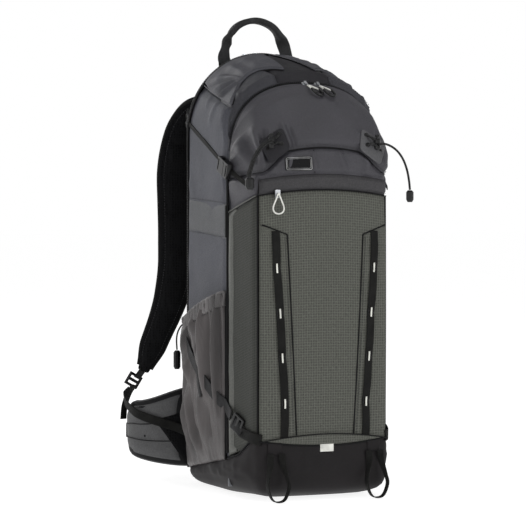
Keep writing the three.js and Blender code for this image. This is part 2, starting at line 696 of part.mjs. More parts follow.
add("back_panel", backPanel(), material("grey"));
add("frame_sheet", frameSheet(), material("plastic", 0.5));
add("frame_stay", stay(), material("metal", 0.4, 0.9));
addPair("back_pad", backPad(), material("mesh"));
add("lumbar_pad", lumbarPad(), material("mesh"));
addPair("shoulder_strap", shoulderStrap(), material("mesh"));
addPair("lower_webbing", lowerWebbing(), material("webbing"));
const adjuster = ladderlock(26, 22, 5, 9);
addPair("strap_adjuster", oriented(adjuster, ADJUSTER.place, ADJUSTER.along, ADJUSTER.up), plastic);
addPair("hip_wing", hipWing(), material("grey"));
add("belt_socket", beltSocket(), material("plastic", 0.4));
add("belt_plug", beltPlug(), material("plastic", 0.4));
add("grab_handle", grabHandle(), material("webbing"));
add("sternum_socket", sternumSocket(), material("plastic", 0.4));
add("sternum_plug", sternumPlug(), material("plastic", 0.4));

pack.position.z = STAND;
export default pack;
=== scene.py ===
import math

import bpy
import numpy as np
from mathutils import Matrix, Vector


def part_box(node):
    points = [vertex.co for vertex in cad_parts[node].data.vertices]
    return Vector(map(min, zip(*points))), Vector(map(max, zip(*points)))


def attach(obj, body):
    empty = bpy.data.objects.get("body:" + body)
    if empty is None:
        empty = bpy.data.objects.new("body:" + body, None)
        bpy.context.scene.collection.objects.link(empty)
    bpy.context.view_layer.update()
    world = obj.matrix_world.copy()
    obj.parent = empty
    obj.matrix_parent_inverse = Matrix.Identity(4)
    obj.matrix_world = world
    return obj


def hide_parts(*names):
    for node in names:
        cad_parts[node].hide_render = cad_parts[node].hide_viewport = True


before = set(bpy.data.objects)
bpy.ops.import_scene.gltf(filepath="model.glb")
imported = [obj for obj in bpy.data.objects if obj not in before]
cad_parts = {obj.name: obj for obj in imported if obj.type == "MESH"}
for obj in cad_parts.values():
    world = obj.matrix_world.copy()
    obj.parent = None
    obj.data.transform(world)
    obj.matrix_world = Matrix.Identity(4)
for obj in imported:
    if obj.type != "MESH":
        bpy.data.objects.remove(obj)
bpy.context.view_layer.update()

# Lengths in this script are millimetres. Heights are measured from the lower seam, which lies
# STAND above the floor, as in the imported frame.
MM = 0.001
STAND = 9.0


def cad(node):
    """A frame node's lowest and highest corners in this script's millimetres."""
    low, high = (np.array(corner, float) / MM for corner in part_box(node))
    shift = np.array([0.0, 0.0, STAND])
    return low - shift, high - shift


HALF = -cad("side_panel_left")[0][0]
RIM_Y = cad("side_panel_left")[1][1]
ARCH_Z = cad("side_panel_left")[1][2]
TOP_Z = cad("top_panel")[1][2]
PANEL_Y = cad("back_panel")[0][1]
BASE_TOP = cad("base_panel")[1][2]
LID_Z = cad("front_pocket")[1][2]
SEAM_X = 103.0
WITHIN = (0, 40, 320)     # a place inside the pack: cloth faces away from it
SIDES = (("left", -1), ("right", 1))


def mirrored(side, points):
    """Points written for the right side, on the side asked for."""
    return [(side * x, y, z) for x, y, z in points]


def there_and_back(half, tip, middle=0.0):
    """A path symmetric about x = middle: its first half, the tip, and the first half mirrored."""
    return ([(middle + x, y, z) for x, y, z in half] + [(middle, *tip)]
            + [(middle - x, y, z) for x, y, z in reversed(half)])


# ---------------------------------------------------------------- numbers and noise


def smooth(x):
    x = np.clip(x, 0.0, 1.0)
    return x * x * (3 - 2 * x)


def ramp(x, start, end):
    return smooth((np.asarray(x, float) - start) / (end - start))


def lerp(a, b, t):
    return a + (b - a) * t


def unit(vectors):
    """The vectors made one long, each along the last axis."""
    return vectors / np.linalg.norm(vectors, axis=-1, keepdims=True)


def lattice(ix, iy, seed):
    value = np.sin(ix * 127.1 + iy * 311.7 + seed * 74.7) * 43758.5453
    return value - np.floor(value)


def noise(x, y, seed=0):
    """Smooth noise from -1 to 1 with a period of one unit."""
    ix, iy = np.floor(x), np.floor(y)
    fx, fy = smooth(x - ix), smooth(y - iy)
    low = lerp(lattice(ix, iy, seed), lattice(ix + 1, iy, seed), fx)
    high = lerp(lattice(ix, iy + 1, seed), lattice(ix + 1, iy + 1, seed), fx)
    return 2 * lerp(low, high, fy) - 1


def crumple(x, y, size, seed=0):
    """Ridged noise like handled fabric: sharp folds between softer hollows."""
    warp = 0.6 * noise(x / size * 0.7, y / size * 0.7, seed + 5)
    fold = 1 - np.abs(noise(x / size + warp, y / size - warp, seed)) * 2
    fine = 1 - np.abs(noise(x / size * 2.3, y / size * 2.3, seed + 9)) * 2
    return 0.7 * fold + 0.3 * fine


def creases(x, y, folds):
    """Height of listed folds: (x0, y0, x1, y1, width, height), each fading at its ends."""
    total = np.zeros(np.broadcast(x, y).shape)
    for x0, y0, x1, y1, width, height in folds:
        length = math.hypot(x1 - x0, y1 - y0)
        along = ((x - x0) * (x1 - x0) + (y - y0) * (y1 - y0)) / length**2
        off = ((x - x0) * (y1 - y0) - (y - y0) * (x1 - x0)) / length
        fade = ramp(along, -0.1, 0.25) * ramp(along, 1.1, 0.7)
        total = total + height * np.exp(-((off / width) ** 2)) * fade
    return total


class Line:
    """A smooth line through points, called with a share of its length from 0 to 1."""

    def __init__(self, points, steps=24):
        p = np.array(points, float)
        ghost = np.vstack([2 * p[0] - p[1], p, 2 * p[-1] - p[-2]])
        t = np.linspace(0, 1, steps, endpoint=False)[:, None]
        parts = []
        for a, b, c, d in zip(ghost, ghost[1:], ghost[2:], ghost[3:]):
            parts.append(0.5 * (2 * b + (c - a) * t + (2 * a - 5 * b + 4 * c - d) * t**2
                                + (3 * b - a - 3 * c + d) * t**3))
        self.points = np.vstack(parts + [p[-1:]])
        step = np.linalg.norm(np.diff(self.points, axis=0), axis=1)
        self.share = np.concatenate([[0], np.cumsum(step)]) / step.sum()
        self.length = step.sum()

    def __call__(self, t):
        return np.stack([np.interp(t, self.share, axis) for axis in self.points.T], -1)

    def where(self, axis, value):
        """The share at which a coordinate that grows along the line has a value."""
        return np.interp(value, self.points[:, axis], self.share)


# ---------------------------------------------------------------- making pieces


def to_vectors(points):
    p = np.array(points, float).reshape(-1, 3)
    return (p + [0, 0, STAND]) * MM


def finish_mesh(name, mesh, finish, body):
    mesh.validate()
    piece = bpy.data.objects.new(name, mesh)
    bpy.context.scene.collection.objects.link(piece)
    mesh.materials.append(finish)
    for polygon in mesh.polygons:
        polygon.use_smooth = True
    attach(piece, body)
    return piece


def solid(name, corners, faces, finish, body="pack"):
    mesh = bpy.data.meshes.new(name)
    mesh.from_pydata([tuple(v) for v in to_vectors(corners)], [], faces)
    return finish_mesh(name, mesh, finish, body)


def grid(name, points, finish, body="pack", wrap=False, caps=False):
    """A piece from a grid of points [row, column, xyz]; wrap joins the last column to the first."""
    rows, columns = points.shape[:2]
    faces = []
    span = columns if wrap else columns - 1
    for r in range(rows - 1):
        for c in range(span):
            a, b = r * columns + c, r * columns + (c + 1) % columns
            faces.append((a, b, b + columns, a + columns))
    if caps:
        faces.append(tuple(reversed(range(columns))))
        faces.append(tuple(range((rows - 1) * columns, rows * columns)))
    mesh = bpy.data.meshes.new(name)
    mesh.from_pydata([tuple(v) for v in to_vectors(points)], [], faces)
    add_lengths_as_uv(mesh, points, wrap)
    return finish_mesh(name, mesh, finish, body)


def add_lengths_as_uv(mesh, points, wrap):
    """UV in centimetres along the rows and columns, so that a weave keeps its size."""
    rows, columns = points.shape[:2]
    mid_row, mid_column = points[rows // 2], points[:, columns // 2]
    u = np.concatenate([[0], np.cumsum(np.linalg.norm(np.diff(mid_row, axis=0), axis=1))]) / 10
    v = np.concatenate([[0], np.cumsum(np.linalg.norm(np.diff(mid_column, axis=0), axis=1))]) / 10
    closing = u[-1] + np.linalg.norm(mid_row[0] - mid_row[-1]) / 10
    layer = mesh.uv_layers.new(name="lengths")
    for polygon in mesh.polygons:
        indices = [mesh.loops[i].vertex_index for i in polygon.loop_indices]
        last_column = wrap and any(i % columns == columns - 1 for i in indices)
        for i, index in zip(polygon.loop_indices, indices):
            r, c = divmod(index, columns)
            along = closing if last_column and c == 0 and len(indices) == 4 else u[c]
            layer.data[i].uv = (along, v[min(r, rows - 1)])


def face_away(points, inside):
    """Unit normals of a grid of points, pointing away from a place inside the pack."""
    du = np.gradient(points, axis=1)
    dv = np.gradient(points, axis=0)
    normal = np.cross(du, dv)
    normal /= np.maximum(np.linalg.norm(normal, axis=-1, keepdims=True), 1e-9)
    if np.mean(np.sum(normal * (points - inside), axis=-1)) < 0:
        normal = -normal
    return normal


def edge_distance(points):
    """Distance in mm of each grid point from the nearest edge of its patch."""
    du = np.linalg.norm(np.diff(points, axis=1), axis=-1)
    dv = np.linalg.norm(np.diff(points, axis=0), axis=-1)
    rows, columns = points.shape[:2]
    left = np.hstack([np.zeros((rows, 1)), np.cumsum(du, axis=1)])
    low = np.vstack([np.zeros((1, columns)), np.cumsum(dv, axis=0)])
    right = left[:, -1:] - left
    high = low[-1:, :] - low
    return np.minimum(np.minimum(left, right), np.minimum(low, high))


def cloth_panel(name, surface, u, low, high, cells, finish, *, body="pack", puff=2.0,
                roll=9.0, sink=0.8, rise=0.0, extra=None, thick=1.6, inside=WITHIN):
    """A sewn panel: part of a surface that swells between its seams and dips into them."""
    across, up = cells
    s = np.linspace(0, 1, across + 1)[None, :]
    t = np.linspace(0, 1, up + 1)[:, None]
    uu = lerp(u[0], u[1], s) + 0 * t
    bottom = low(uu) if callable(low) else low + 0 * uu
    top = high(uu) if callable(high) else high + 0 * uu
    vv = lerp(bottom, top, t)
    points = surface(uu, vv)
    edge = edge_distance(points)
    out = rise + (puff + sink) * smooth(edge / roll) - sink
    if extra is not None:
        out = out + extra(points, uu, vv) * smooth(edge / (0.6 * roll))
    points = points + face_away(points, np.array(inside, float)) * out[..., None]
    piece = grid(name, points, finish, body)
    shell(piece, thick, inside)
    return piece


def shell(piece, thick, inside):
    """Gives an open sheet its thickness, on the side towards the inside of the pack."""
    mesh = piece.data
    centre = Vector(to_vectors([inside])[0])
    facing = sum((p.center - centre).dot(p.normal) * p.area for p in mesh.polygons)
    if facing < 0:
        mesh.flip_normals()
    wall = piece.modifiers.new("thickness", "SOLIDIFY")
    wall.thickness = thick * MM
    wall.offset = -1.0
    wall.use_rim = True


def frames(points, across):
    """Along, side and out directions at each point of a line."""
    along = np.gradient(points, axis=0)
    along = unit(along)
    side = across - along * np.sum(across * along, axis=1, keepdims=True)
    side = unit(side)
    return along, side, np.cross(side, along)


def band_section(shoulder, flat):
    """Section of flat webbing with rounded edges, from -1 to 1 both ways."""
    upper = [(-1, 0), (-shoulder, 0.8), (-flat, 1), (0, 1), (flat, 1), (shoulder, 0.8)]
    return upper + [(-a, -b) for a, b in upper]


def strap(name, points, across, width, thick, finish, body="pack", steps=60, crown=0.0):
    """Flat webbing along a line, with rounded edges."""
    line = Line(points)
    t = np.linspace(0, 1, steps + 1)
    centre = line(t)
    wanted = np.stack([np.asarray(across(x), float) for x in t]) if callable(across) \
        else np.tile(np.asarray(across, float), (len(t), 1))
    _, side, out = frames(centre, wanted)
    w = np.array([width(x) if callable(width) else width for x in t])[:, None] / 2
    h = np.array([thick(x) if callable(thick) else thick for x in t])[:, None] / 2
    rings = [centre + side * w * a + out * (h * b + crown * (1 - a * a))
             for a, b in band_section(0.96, 0.8)]
    return grid(name, np.stack(rings, 1), finish, body, wrap=True, caps=True)


def tube(name, points, radius, finish, slot, body="pack", steps=60, sides=10, squash=1.0):
    """A round cord, piping or bead along a line."""
    line = points if isinstance(points, Line) else Line(points)
    t = np.linspace(0, 1, steps + 1)
    centre = line(t)
    along = np.gradient(centre, axis=0)
    along = unit(along)
    side = np.cross(along[0], [0.31, 0.22, 0.92])
    sides_out = []
    for direction in along:
        side = side - direction * side.dot(direction)
        side = unit(side)
        sides_out.append(side)
    side = np.array(sides_out)
    out = np.cross(side, along)
    r = np.array([radius(x) if callable(radius) else radius for x in t])[:, None]
    angles = np.linspace(0, 2 * math.pi, sides, endpoint=False)
    rings = [centre + r * (side * math.cos(a) + out * squash * math.sin(a)) for a in angles]
    return grid(name, np.stack(rings, 1), finish, body, wrap=True, caps=True)


def stitches(name, points, finish, slot, body="pack", pitch=4.2, length=2.6, radius=0.42):
    """A row of short raised threads along a line of points."""
    line = points if isinstance(points, Line) else Line(points)
    count = max(2, int(line.length / pitch))
    starts = (np.arange(count) + 0.2) / count
    verts, faces = [], []
    ring = [(math.cos(a), math.sin(a)) for a in np.linspace(0, 2 * math.pi, 5, endpoint=False)]
    for start in starts:
        a, b = line(start), line(min(1, start + length / line.length))
        along = (b - a) / max(np.linalg.norm(b - a), 1e-6)
        side = np.cross(along, [0.21, 0.33, 0.92])
        side = unit(side)
        out = np.cross(side, along)
        base = len(verts)
        for share, scale in ((0, 0.35), (0.25, 1), (0.75, 1), (1, 0.35)):
            centre = lerp(a, b, share)
            verts += [centre + radius * scale * (side * c + out * s) for c, s in ring]
        for r in range(3):
            for c in range(5):
                p, q = base + r * 5 + c, base + r * 5 + (c + 1) % 5
                faces.append((p, q, q + 5, p + 5))
        faces.append(tuple(base + c for c in reversed(range(5))))
        faces.append(tuple(base + 15 + c for c in range(5)))
    return solid(name, verts, faces, finish, body)


def rounded(width, height, radius, steps=5, x=0.0, y=0.0):
    """Corner points of a rounded rectangle about (x, y)."""
    points = []
    for cx, cy, start in ((1, 1, 0), (-1, 1, 90), (-1, -1, 180), (1, -1, 270)):
        for i in range(steps + 1):
            a = math.radians(start + 90 * i / steps)
            points.append((x + cx * (width / 2 - radius) + radius * math.cos(a),
                           y + cy * (height / 2 - radius) + radius * math.sin(a)))
    return points


def moulding(name, loops, thick, edge, place, x_way, z_way, finish, body="pack"):
    """A moulded plate with rounded edges: the first loop is its outline, the others are holes."""
    curve = bpy.data.curves.new(name + "_outline", "CURVE")
    curve.dimensions = "2D"
    curve.fill_mode = "BOTH"
    curve.extrude = max(thick / 2 - edge, 0.01)
    curve.bevel_depth = edge
    curve.bevel_resolution = 2
    curve.offset = -edge
    for loop in loops:
        spline = curve.splines.new("POLY")
        spline.points.add(len(loop) - 1)
        for point, (px, py) in zip(spline.points, loop):
            point.co = (px, py, 0, 1)
        spline.use_cyclic_u = True
    holder = bpy.data.objects.new(name + "_outline", curve)
    bpy.context.scene.collection.objects.link(holder)
    evaluated = holder.evaluated_get(bpy.context.evaluated_depsgraph_get())
    mesh = bpy.data.meshes.new_from_object(evaluated)
    bpy.data.objects.remove(holder)
    mesh.materials.clear()
    x = Vector(x_way).normalized()
    y = Vector(z_way).cross(x).normalized()
    z = x.cross(y)
    basis = Matrix((x, y, z)).transposed().to_4x4()
    basis.translation = Vector(place) + Vector((0, 0, STAND))
    mesh.transform(Matrix.Scale(MM, 4) @ basis)
    return finish_mesh(name, mesh, finish, body)


def lifted(surface, u, v, lift, inside=WITHIN):
    """Points of a surface moved out along its normals, and the normals."""
    step = 0.5
    u, v = np.broadcast_arrays(np.asarray(u, float), np.asarray(v, float))
    point = surface(u, v)
    across = surface(u + step, v) - surface(u - step, v)
    up = surface(u, v + step) - surface(u, v - step)
    normal = np.cross(across, up)
    normal /= np.maximum(np.linalg.norm(normal, axis=-1, keepdims=True), 1e-9)
    normal *= np.sign(np.sum(normal * (point - np.array(inside, float)), -1, keepdims=True))
    return point + normal * np.asarray(lift, float)[..., None], normal


def resampled(u, v, steps):
    """Evenly spread parameters along a path of (u, v) corners."""
    knots = np.linspace(0, 1, len(u))
    t = np.linspace(0, 1, steps + 1)
    return np.interp(t, knots, u), np.interp(t, knots, v)


def strip(name, centre, out, width, thick, finish, body="pack"):
    """Webbing or tape along a line of points, facing the way given at each point."""
    along = np.gradient(centre, axis=0)
    along = unit(along)
    side = np.cross(along, out)
    side = unit(side)
    face = np.cross(side, along)
    w = (np.asarray(width, float) * np.ones(len(centre)))[:, None] / 2
    rings = [centre + side * w * a + face * thick / 2 * b for a, b in band_section(0.95, 0.75)]
    return grid(name, np.stack(rings, 1), finish, body, wrap=True, caps=True)


def tape_on(name, surface, u, v, width, thick, finish, lift, steps):
    """A strip that lies on a surface along a path of (u, v) corners."""
    us, vs = resampled(u, v, steps)
    centre, out = lifted(surface, us, vs, lift)
    return strip(name, centre, out, width, thick, finish)


def teeth(name, centre, out, pitch, width, height, finish):
    """The interlocked coil of a zip: a row of small bars, set left and right in turn."""
    line = Line(centre, steps=2)
    facing = Line(out, steps=2)
    count = int(line.length / pitch)
    verts, faces = [], []
    corners = [(-1, -1, 0), (1, -1, 0), (1, 1, 0), (-1, 1, 0),
               (-0.6, -0.7, 1), (0.6, -0.7, 1), (0.6, 0.7, 1), (-0.6, 0.7, 1)]
    quads = [(0, 3, 2, 1), (4, 5, 6, 7), (0, 1, 5, 4), (1, 2, 6, 5), (2, 3, 7, 6), (3, 0, 4, 7)]
    for i in range(count):
        t = (i + 0.5) / count
        place = line(t)
        along = line(min(1, t + 0.002)) - line(max(0, t - 0.002))
        along = unit(along)
        up = facing(t)
        side = np.cross(along, up)
        side = unit(side)
        shift = (0.22 if i % 2 else -0.22) * width
        base = len(verts)
        for a, b, c in corners:
            verts.append(place + along * (a * pitch * 0.36) + side * (b * width * 0.42 + shift)
                         + up * (c * height))
        faces += [tuple(base + k for k in quad) for quad in quads]
    return solid(name, verts, faces, finish)


# ---------------------------------------------------------------- surfaces of the pack

SIDE_RUN = ARCH_Z                 # straight part of each side
ARCH_RUN = 190.0                  # half of the arch, measured over the top
SPAN = SIDE_RUN + ARCH_RUN
ARCH_RISE = TOP_Z - ARCH_Z
ARCH_DROP = 34.0
DIVIDER_Y = -38.0
REAR_ROUND = 26.6
ROUND_START = 120.0


def body(g, y):
    """The main compartment: g runs over the top from the right foot to the left, in mm."""
    g, y = np.broadcast_arrays(np.asarray(g, float), np.asarray(y, float))
    deep = np.clip(y - ROUND_START, 0, REAR_ROUND)
    inset = REAR_ROUND - np.sqrt(REAR_ROUND**2 - deep**2)
    back = np.maximum(RIM_Y - y, 0) / (RIM_Y - DIVIDER_Y)
    rise = ARCH_RISE - ARCH_DROP * back**1.6 - inset
    half = HALF - inset
    angle = math.pi / 2 * np.clip((ARCH_RUN - np.abs(g)) / ARCH_RUN, 0, 1)
    x = np.sign(g) * half * np.cos(angle)
    z = ARCH_Z + rise * np.sin(angle) - np.maximum(np.abs(g) - ARCH_RUN, 0)
    return np.stack([x, y, z], -1)


# Half of the plan outline of the front pockets, from the divider to the middle.
PLAN = [(118, -41), (116, -60), (112.5, -80), (108.5, -100), (105.5, -114), (103, -122),
        (98, -127.5), (90, -129.2), (70, -130.8), (45, -132.2), (20, -133), (0, -133.2)]
FRONT = Line([(-x, y, 0) for x, y in PLAN] + [(x, y, 0) for x, y in reversed(PLAN[:-1])])
FRONT_RUN = FRONT.length / 2
CORNER = (0.5 - FRONT.where(0, -SEAM_X)) * FRONT.length
DOME_LOW, DOME_HIGH = 480.0, 640.0
ZIP_HALF, ZIP_FOOT, ZIP_RISE = 116.5, 515.0, 102.0


def squarish(value):
    return np.sign(value) * np.abs(value) ** (2 / 2.4)


def dome_zip(share):
    """The arch of the top pocket's zip."""
    angle = math.pi * (1 - np.clip(share, 0, 1))
    x = ZIP_HALF * squarish(np.cos(angle))
    z = ZIP_FOOT + ZIP_RISE * squarish(np.maximum(np.sin(angle), 0))
    return np.stack([x, -46 - 10 * np.sin(angle), z], -1)


def bulk(p, w):
    """The front pockets: p runs round the front from left to right, w up it, in mm."""
    p, w = np.broadcast_arrays(np.asarray(p, float), np.asarray(w, float))
    share = np.clip(p / FRONT.length + 0.5, 0, 1)
    foot = FRONT(share)
    height = np.clip((w - BASE_TOP) / (LID_Z - BASE_TOP), 0, 1)
    barrel = 3 * np.sin(math.pi * height) * (1 - np.clip(np.abs(foot[..., 0]) / PLAN[0][0], 0, 1) ** 4)
    start = np.stack([foot[..., 0], foot[..., 1] - barrel, np.minimum(w, DOME_LOW)], -1)
    end = dome_zip(share)
    dx, dy, dz = [start[..., i] - end[..., i] for i in range(3)]
    first = start + np.stack([0 * dz, 0 * dz, -0.42 * dz], -1)
    second = end + np.stack([0.35 * dx, 0.6 * dy, 0.2 * dz], -1)
    b = np.clip((w - DOME_LOW) / (DOME_HIGH - DOME_LOW), 0, 1)[..., None]
    curve = ((1 - b) ** 3 * start + 3 * b * (1 - b) ** 2 * first + 3 * b**2 * (1 - b) * second
             + b**3 * end)
    return np.where(b > 0, curve, start)


def across_front(x):
    """The place round the front of a point x to the right of the middle."""
    return (FRONT.where(0, x) - 0.5) * FRONT.length


def front(x, z):
    return bulk(across_front(x), z)


def sideways(p):
    """0 on the front face, rising to 1 where the pocket's side meets the divider."""
    return np.clip((np.abs(p) - CORNER) / (FRONT_RUN - CORNER), 0, 1)


def plan_x(p):
    return FRONT(np.clip(np.asarray(p, float) / FRONT.length + 0.5, 0, 1))[..., 0]


def green_top(p):
    """Height of the seam between the green pocket and the black one above it."""
    inner = np.clip(np.abs(plan_x(p)) / SEAM_X, 0, 1)
    return 447 + 9 * (1 - inner**2) - 26 * sideways(p)


def strip_top(p):
    return green_top(p) + 23 - 5 * sideways(p)


def dome_seam(p):
    x = np.abs(plan_x(p))
    middle = 516.5 - 3 * (np.minimum(x, 54) / 54) ** 2
    return middle - 33.5 * ramp(x, 54, SEAM_X) - 8 * sideways(p)


def boot_edge(y):
    """Height of the top of the coated base along the side walls."""
    return np.interp(y, [-60, -52, 128, 150], [55, 53, 21, 19])


V_LOW, V_HIGH, V_OUT = 90.0, 389.0, 404.0


def v_line(z):
    """Distance from the middle of the two seams that converge down the front."""
    inner = lerp(47.0, 62.1, (np.asarray(z, float) - V_LOW) / (V_HIGH - V_LOW))
    return np.where(z > V_HIGH, lerp(62.1, 101.6, (z - V_HIGH) / (V_OUT - V_HIGH)), inner)


# ---------------------------------------------------------------- materials


def linear(red, green, blue):
    """A colour in steps of 0 to 255, as a shader takes it."""
    share = np.array([red, green, blue]) / 255
    value = np.where(share > 0.04, ((share + 0.055) / 1.055) ** 2.4, share / 12.92)
    return (*value.tolist(), 1.0)


class Finish:
    """A Principled material with short ways to add nodes to it."""

    def __init__(self, name, colour, roughness, specular=0.3, metallic=0.0):
        self.colour = colour
        self.material = bpy.data.materials.new(name)
        self.material.use_nodes = True
        self.tree = self.material.node_tree
        self.shader = self.tree.nodes["Principled BSDF"]
        values = {"Base Color": linear(*colour), "Roughness": roughness, "Metallic": metallic,
                  "Specular IOR Level": specular}
        for socket, value in values.items():
            self.shader.inputs[socket].default_value = value
        places = self.tree.nodes.new("ShaderNodeTexCoord")
        self.place = places.outputs["Object"]
        self.lengths = places.outputs["UV"]

    def node(self, kind, inputs, output=0, **settings):
        made = self.tree.nodes.new(kind)
        for key, value in settings.items():
            setattr(made, key, value)
        for socket, value in inputs.items():
            if isinstance(value, bpy.types.NodeSocket):
                self.tree.links.new(value, made.inputs[socket])
            else:
                made.inputs[socket].default_value = value
        return made.outputs[output]

    def maths(self, operation, a, b=0.0, clamp=False):
        return self.node("ShaderNodeMath", {0: a, 1: b}, operation=operation, use_clamp=clamp)

    def times(self, a, b, **options):
        return self.maths("MULTIPLY", a, b, **options)

    def plus(self, a, b, **options):
        return self.maths("ADD", a, b, **options)

    def wave(self, along, pitch):
        return self.maths("SINE", self.times(along, 2 * math.pi / pitch))

    def gloss(self, roughness, patches, spread):
        """Roughness that varies about a value from patch to patch."""
        return self.plus(roughness - spread / 2, self.times(patches, spread))

    def paler(self, share):
        return linear(*(min(255, c * share) for c in self.colour))

    def noise(self, scale, detail=2.0, place=None, stretch=(1, 1, 1)):
        where = self.node("ShaderNodeMapping",
                          {"Vector": place or self.place, "Scale": stretch})
        return self.node("ShaderNodeTexNoise", {"Vector": where, "Scale": scale, "Detail": detail})

    def axes(self, place):
        made = self.tree.nodes.new("ShaderNodeSeparateXYZ")
        self.tree.links.new(place, made.inputs[0])
        return made.outputs

    def waves(self, pitch, diagonal=False):
        """Threads over and under each other: waves along two ways of the cloth."""
        u, v = self.axes(self.lengths)[:2]
        if diagonal:
            u, v = self.plus(u, v), self.maths("SUBTRACT", u, v)
        return self.times(self.wave(u, pitch), self.wave(v, pitch))

    def lines(self, pitch, width):
        """1 on the lines of a square grid and 0 between them."""
        found = []
        for axis in self.axes(self.lengths)[:2]:
            phase = self.maths("FRACT", self.maths("DIVIDE", axis, pitch))
            off = self.maths("ABSOLUTE", self.maths("SUBTRACT", phase, 0.5))
            near = self.maths("SUBTRACT", 1.0, self.maths("DIVIDE", off, width), clamp=True)
            found.append(near)
        return self.maths("MAXIMUM", *found)

    def shades(self, factor, dark, light):
        """Colours between two shades of the finish's own colour."""
        ramp_node = self.tree.nodes.new("ShaderNodeValToRGB")
        for stop, share, at in zip(ramp_node.color_ramp.elements, (dark, light), (0.25, 0.75)):
            stop.color, stop.position = self.paler(share), at
        self.tree.links.new(factor, ramp_node.inputs["Fac"])
        return ramp_node.outputs["Color"]

    def over(self, factor, below, above):
        return self.node("ShaderNodeMix", {0: factor, 6: below, 7: above}, 2, data_type="RGBA")

    def done(self, colour=None, rough=None, height=None, depth=0.3, strength=0.6):
        inputs = self.shader.inputs
        if colour is not None:
            self.tree.links.new(colour, inputs["Base Color"])
        if rough is not None:
            self.tree.links.new(rough, inputs["Roughness"])
        if height is not None:
            bump = self.node("ShaderNodeBump", {"Height": height, "Distance": depth * MM,
                                                "Strength": strength})
            self.tree.links.new(bump, inputs["Normal"])
        return self.material


def woven(name, colour, roughness=0.75, pitch=0.09, contrast=0.12, uneven=0.10, **shine):
    """Plain-woven pack cloth: fine threads, soft uneven patches and a slightly varied gloss."""
    f = Finish(name, colour, roughness, **shine)
    threads = f.waves(pitch)
    fuzz = f.noise(420, 2)
    blotches = f.plus(f.times(f.noise(9, 3), uneven * 5), f.times(fuzz, 0.5 - uneven))
    tone = f.shades(f.plus(f.times(threads, contrast), blotches), 0.80, 1.16)
    rough = f.gloss(roughness, f.noise(26, 3), 0.2)
    return f.done(tone, rough, f.plus(threads, f.times(fuzz, 0.6)), depth=0.12, strength=0.5)


def ripstop(name, colour, roughness=0.8, line_share=1.45, melange=1.0, **shine):
    """Two-tone ripstop: streaked yarns both ways and a square grid of lighter threads."""
    f = Finish(name, colour, roughness, **shine)
    warp = f.noise(17, 3, f.lengths, (1.0, 0.12, 1))
    weft = f.noise(17, 3, f.lengths, (0.12, 1.0, 1))
    streaks = f.maths("SUBTRACT", f.plus(f.times(warp, 0.5), f.times(weft, 0.5)), 0.5)
    ground = f.shades(f.plus(f.times(streaks, 1.7 * melange), 0.5, clamp=True), 0.74, 1.22)
    broken = f.times(f.lines(0.4, 0.12), f.noise(5, 3, f.lengths))
    tone = f.over(f.times(broken, 1.25, clamp=True), ground, f.paler(line_share))
    height = f.plus(f.waves(0.08), f.times(f.lines(0.5, 0.12), 1.2))
    return f.done(tone, f.gloss(roughness, f.noise(30, 2), 0.16), height, depth=0.2)


def knit(name, colour, roughness, **shine):
    """Stretch knit with fine upright ribs, and upright streaks of painted sheen and shade."""
    f = Finish(name, colour, roughness, **shine)
    u, v = f.axes(f.lengths)[:2]
    ribs, loops = f.wave(u, 0.14), f.wave(v, 0.1)
    # Upright streaks of painted sheen and shade, given strong contrast in the colour below.
    painted_sheen_streaks = f.noise(26, 3, stretch=(1, 1, 0.16))
    mixed = f.plus(f.times(ribs, 0.1), f.plus(f.times(loops, 0.05), painted_sheen_streaks))
    height = f.plus(ribs, f.times(loops, 0.4))
    return f.done(f.shades(mixed, 0.5, 1.45), None, height, depth=0.25)


def webbing(name, colour, **shine):
    """Nylon webbing: herringbone ribs, a little fuzz, and paler rubbed places."""
    f = Finish(name, colour, 0.7, **shine)
    ribs, fine = f.waves(0.22, diagonal=True), f.waves(0.07)
    mixed = f.plus(f.times(ribs, 0.14), f.plus(f.times(fine, 0.08), f.noise(60, 4)))
    height = f.plus(ribs, f.times(fine, 0.5))
    return f.done(f.shades(mixed, 0.72, 1.35), None, height, depth=0.3, strength=0.7)


def air_mesh(name, colour, **shine):
    """Three-dimensional spacer mesh: round dark openings in a knitted net."""
    f = Finish(name, colour, 0.85, **shine)
    cells = f.node("ShaderNodeTexVoronoi", {"Vector": f.place, "Scale": 230.0,
                                            "Randomness": 0.25})
    open_cell = f.maths("SUBTRACT", 1.0, f.times(cells, 1.9), clamp=True)
    net = f.maths("SUBTRACT", 1.0, open_cell)
    tone = f.plus(f.times(net, 0.55), f.times(f.noise(20, 2), 0.3))
    return f.done(f.shades(tone, 0.45, 1.5), None, net, depth=0.9, strength=0.8)


def coated(name, colour, roughness, **shine):
    """Heavy coated cloth for the base: a pebbled, slightly glossy face with scuffs."""
    f = Finish(name, colour, roughness, **shine)
    pebble = f.node("ShaderNodeTexVoronoi", {"Vector": f.place, "Scale": 900.0})
    scuffs = f.noise(14, 5)
    mixed = f.plus(f.times(pebble, 0.35), f.times(scuffs, 0.7))
    rough = f.plus(roughness - 0.12, f.times(scuffs, 0.3))
    return f.done(f.shades(mixed, 0.8, 1.25), rough, pebble, depth=0.12, strength=0.5)


def moulded(name, colour, roughness=0.35, edge_wear_and_glint=2.6, **shine):
    """Moulded nylon or rubber: a fine spark-eroded grain, and sharp edges painted paler, partly as
    rubbed wear and partly as painted highlight.
    """
    f = Finish(name, colour, roughness, **shine)
    edges = f.tree.nodes.new("ShaderNodeNewGeometry").outputs["Pointiness"]
    # Paler sharp edges: partly rubbed wear, partly painted highlight standing in for glints on the
    # edges.
    sharp = f.times(f.maths("SUBTRACT", edges, 0.53), 9.0, clamp=True)
    rubbed = f.times(sharp, f.noise(160, 4))
    tone = f.over(rubbed, f.shades(f.noise(70, 3), 0.88, 1.12), f.paler(edge_wear_and_glint))
    rough = f.gloss(roughness, f.noise(90, 3), 0.16)
    return f.done(tone, rough, f.noise(1600, 3), depth=0.05, strength=0.4)


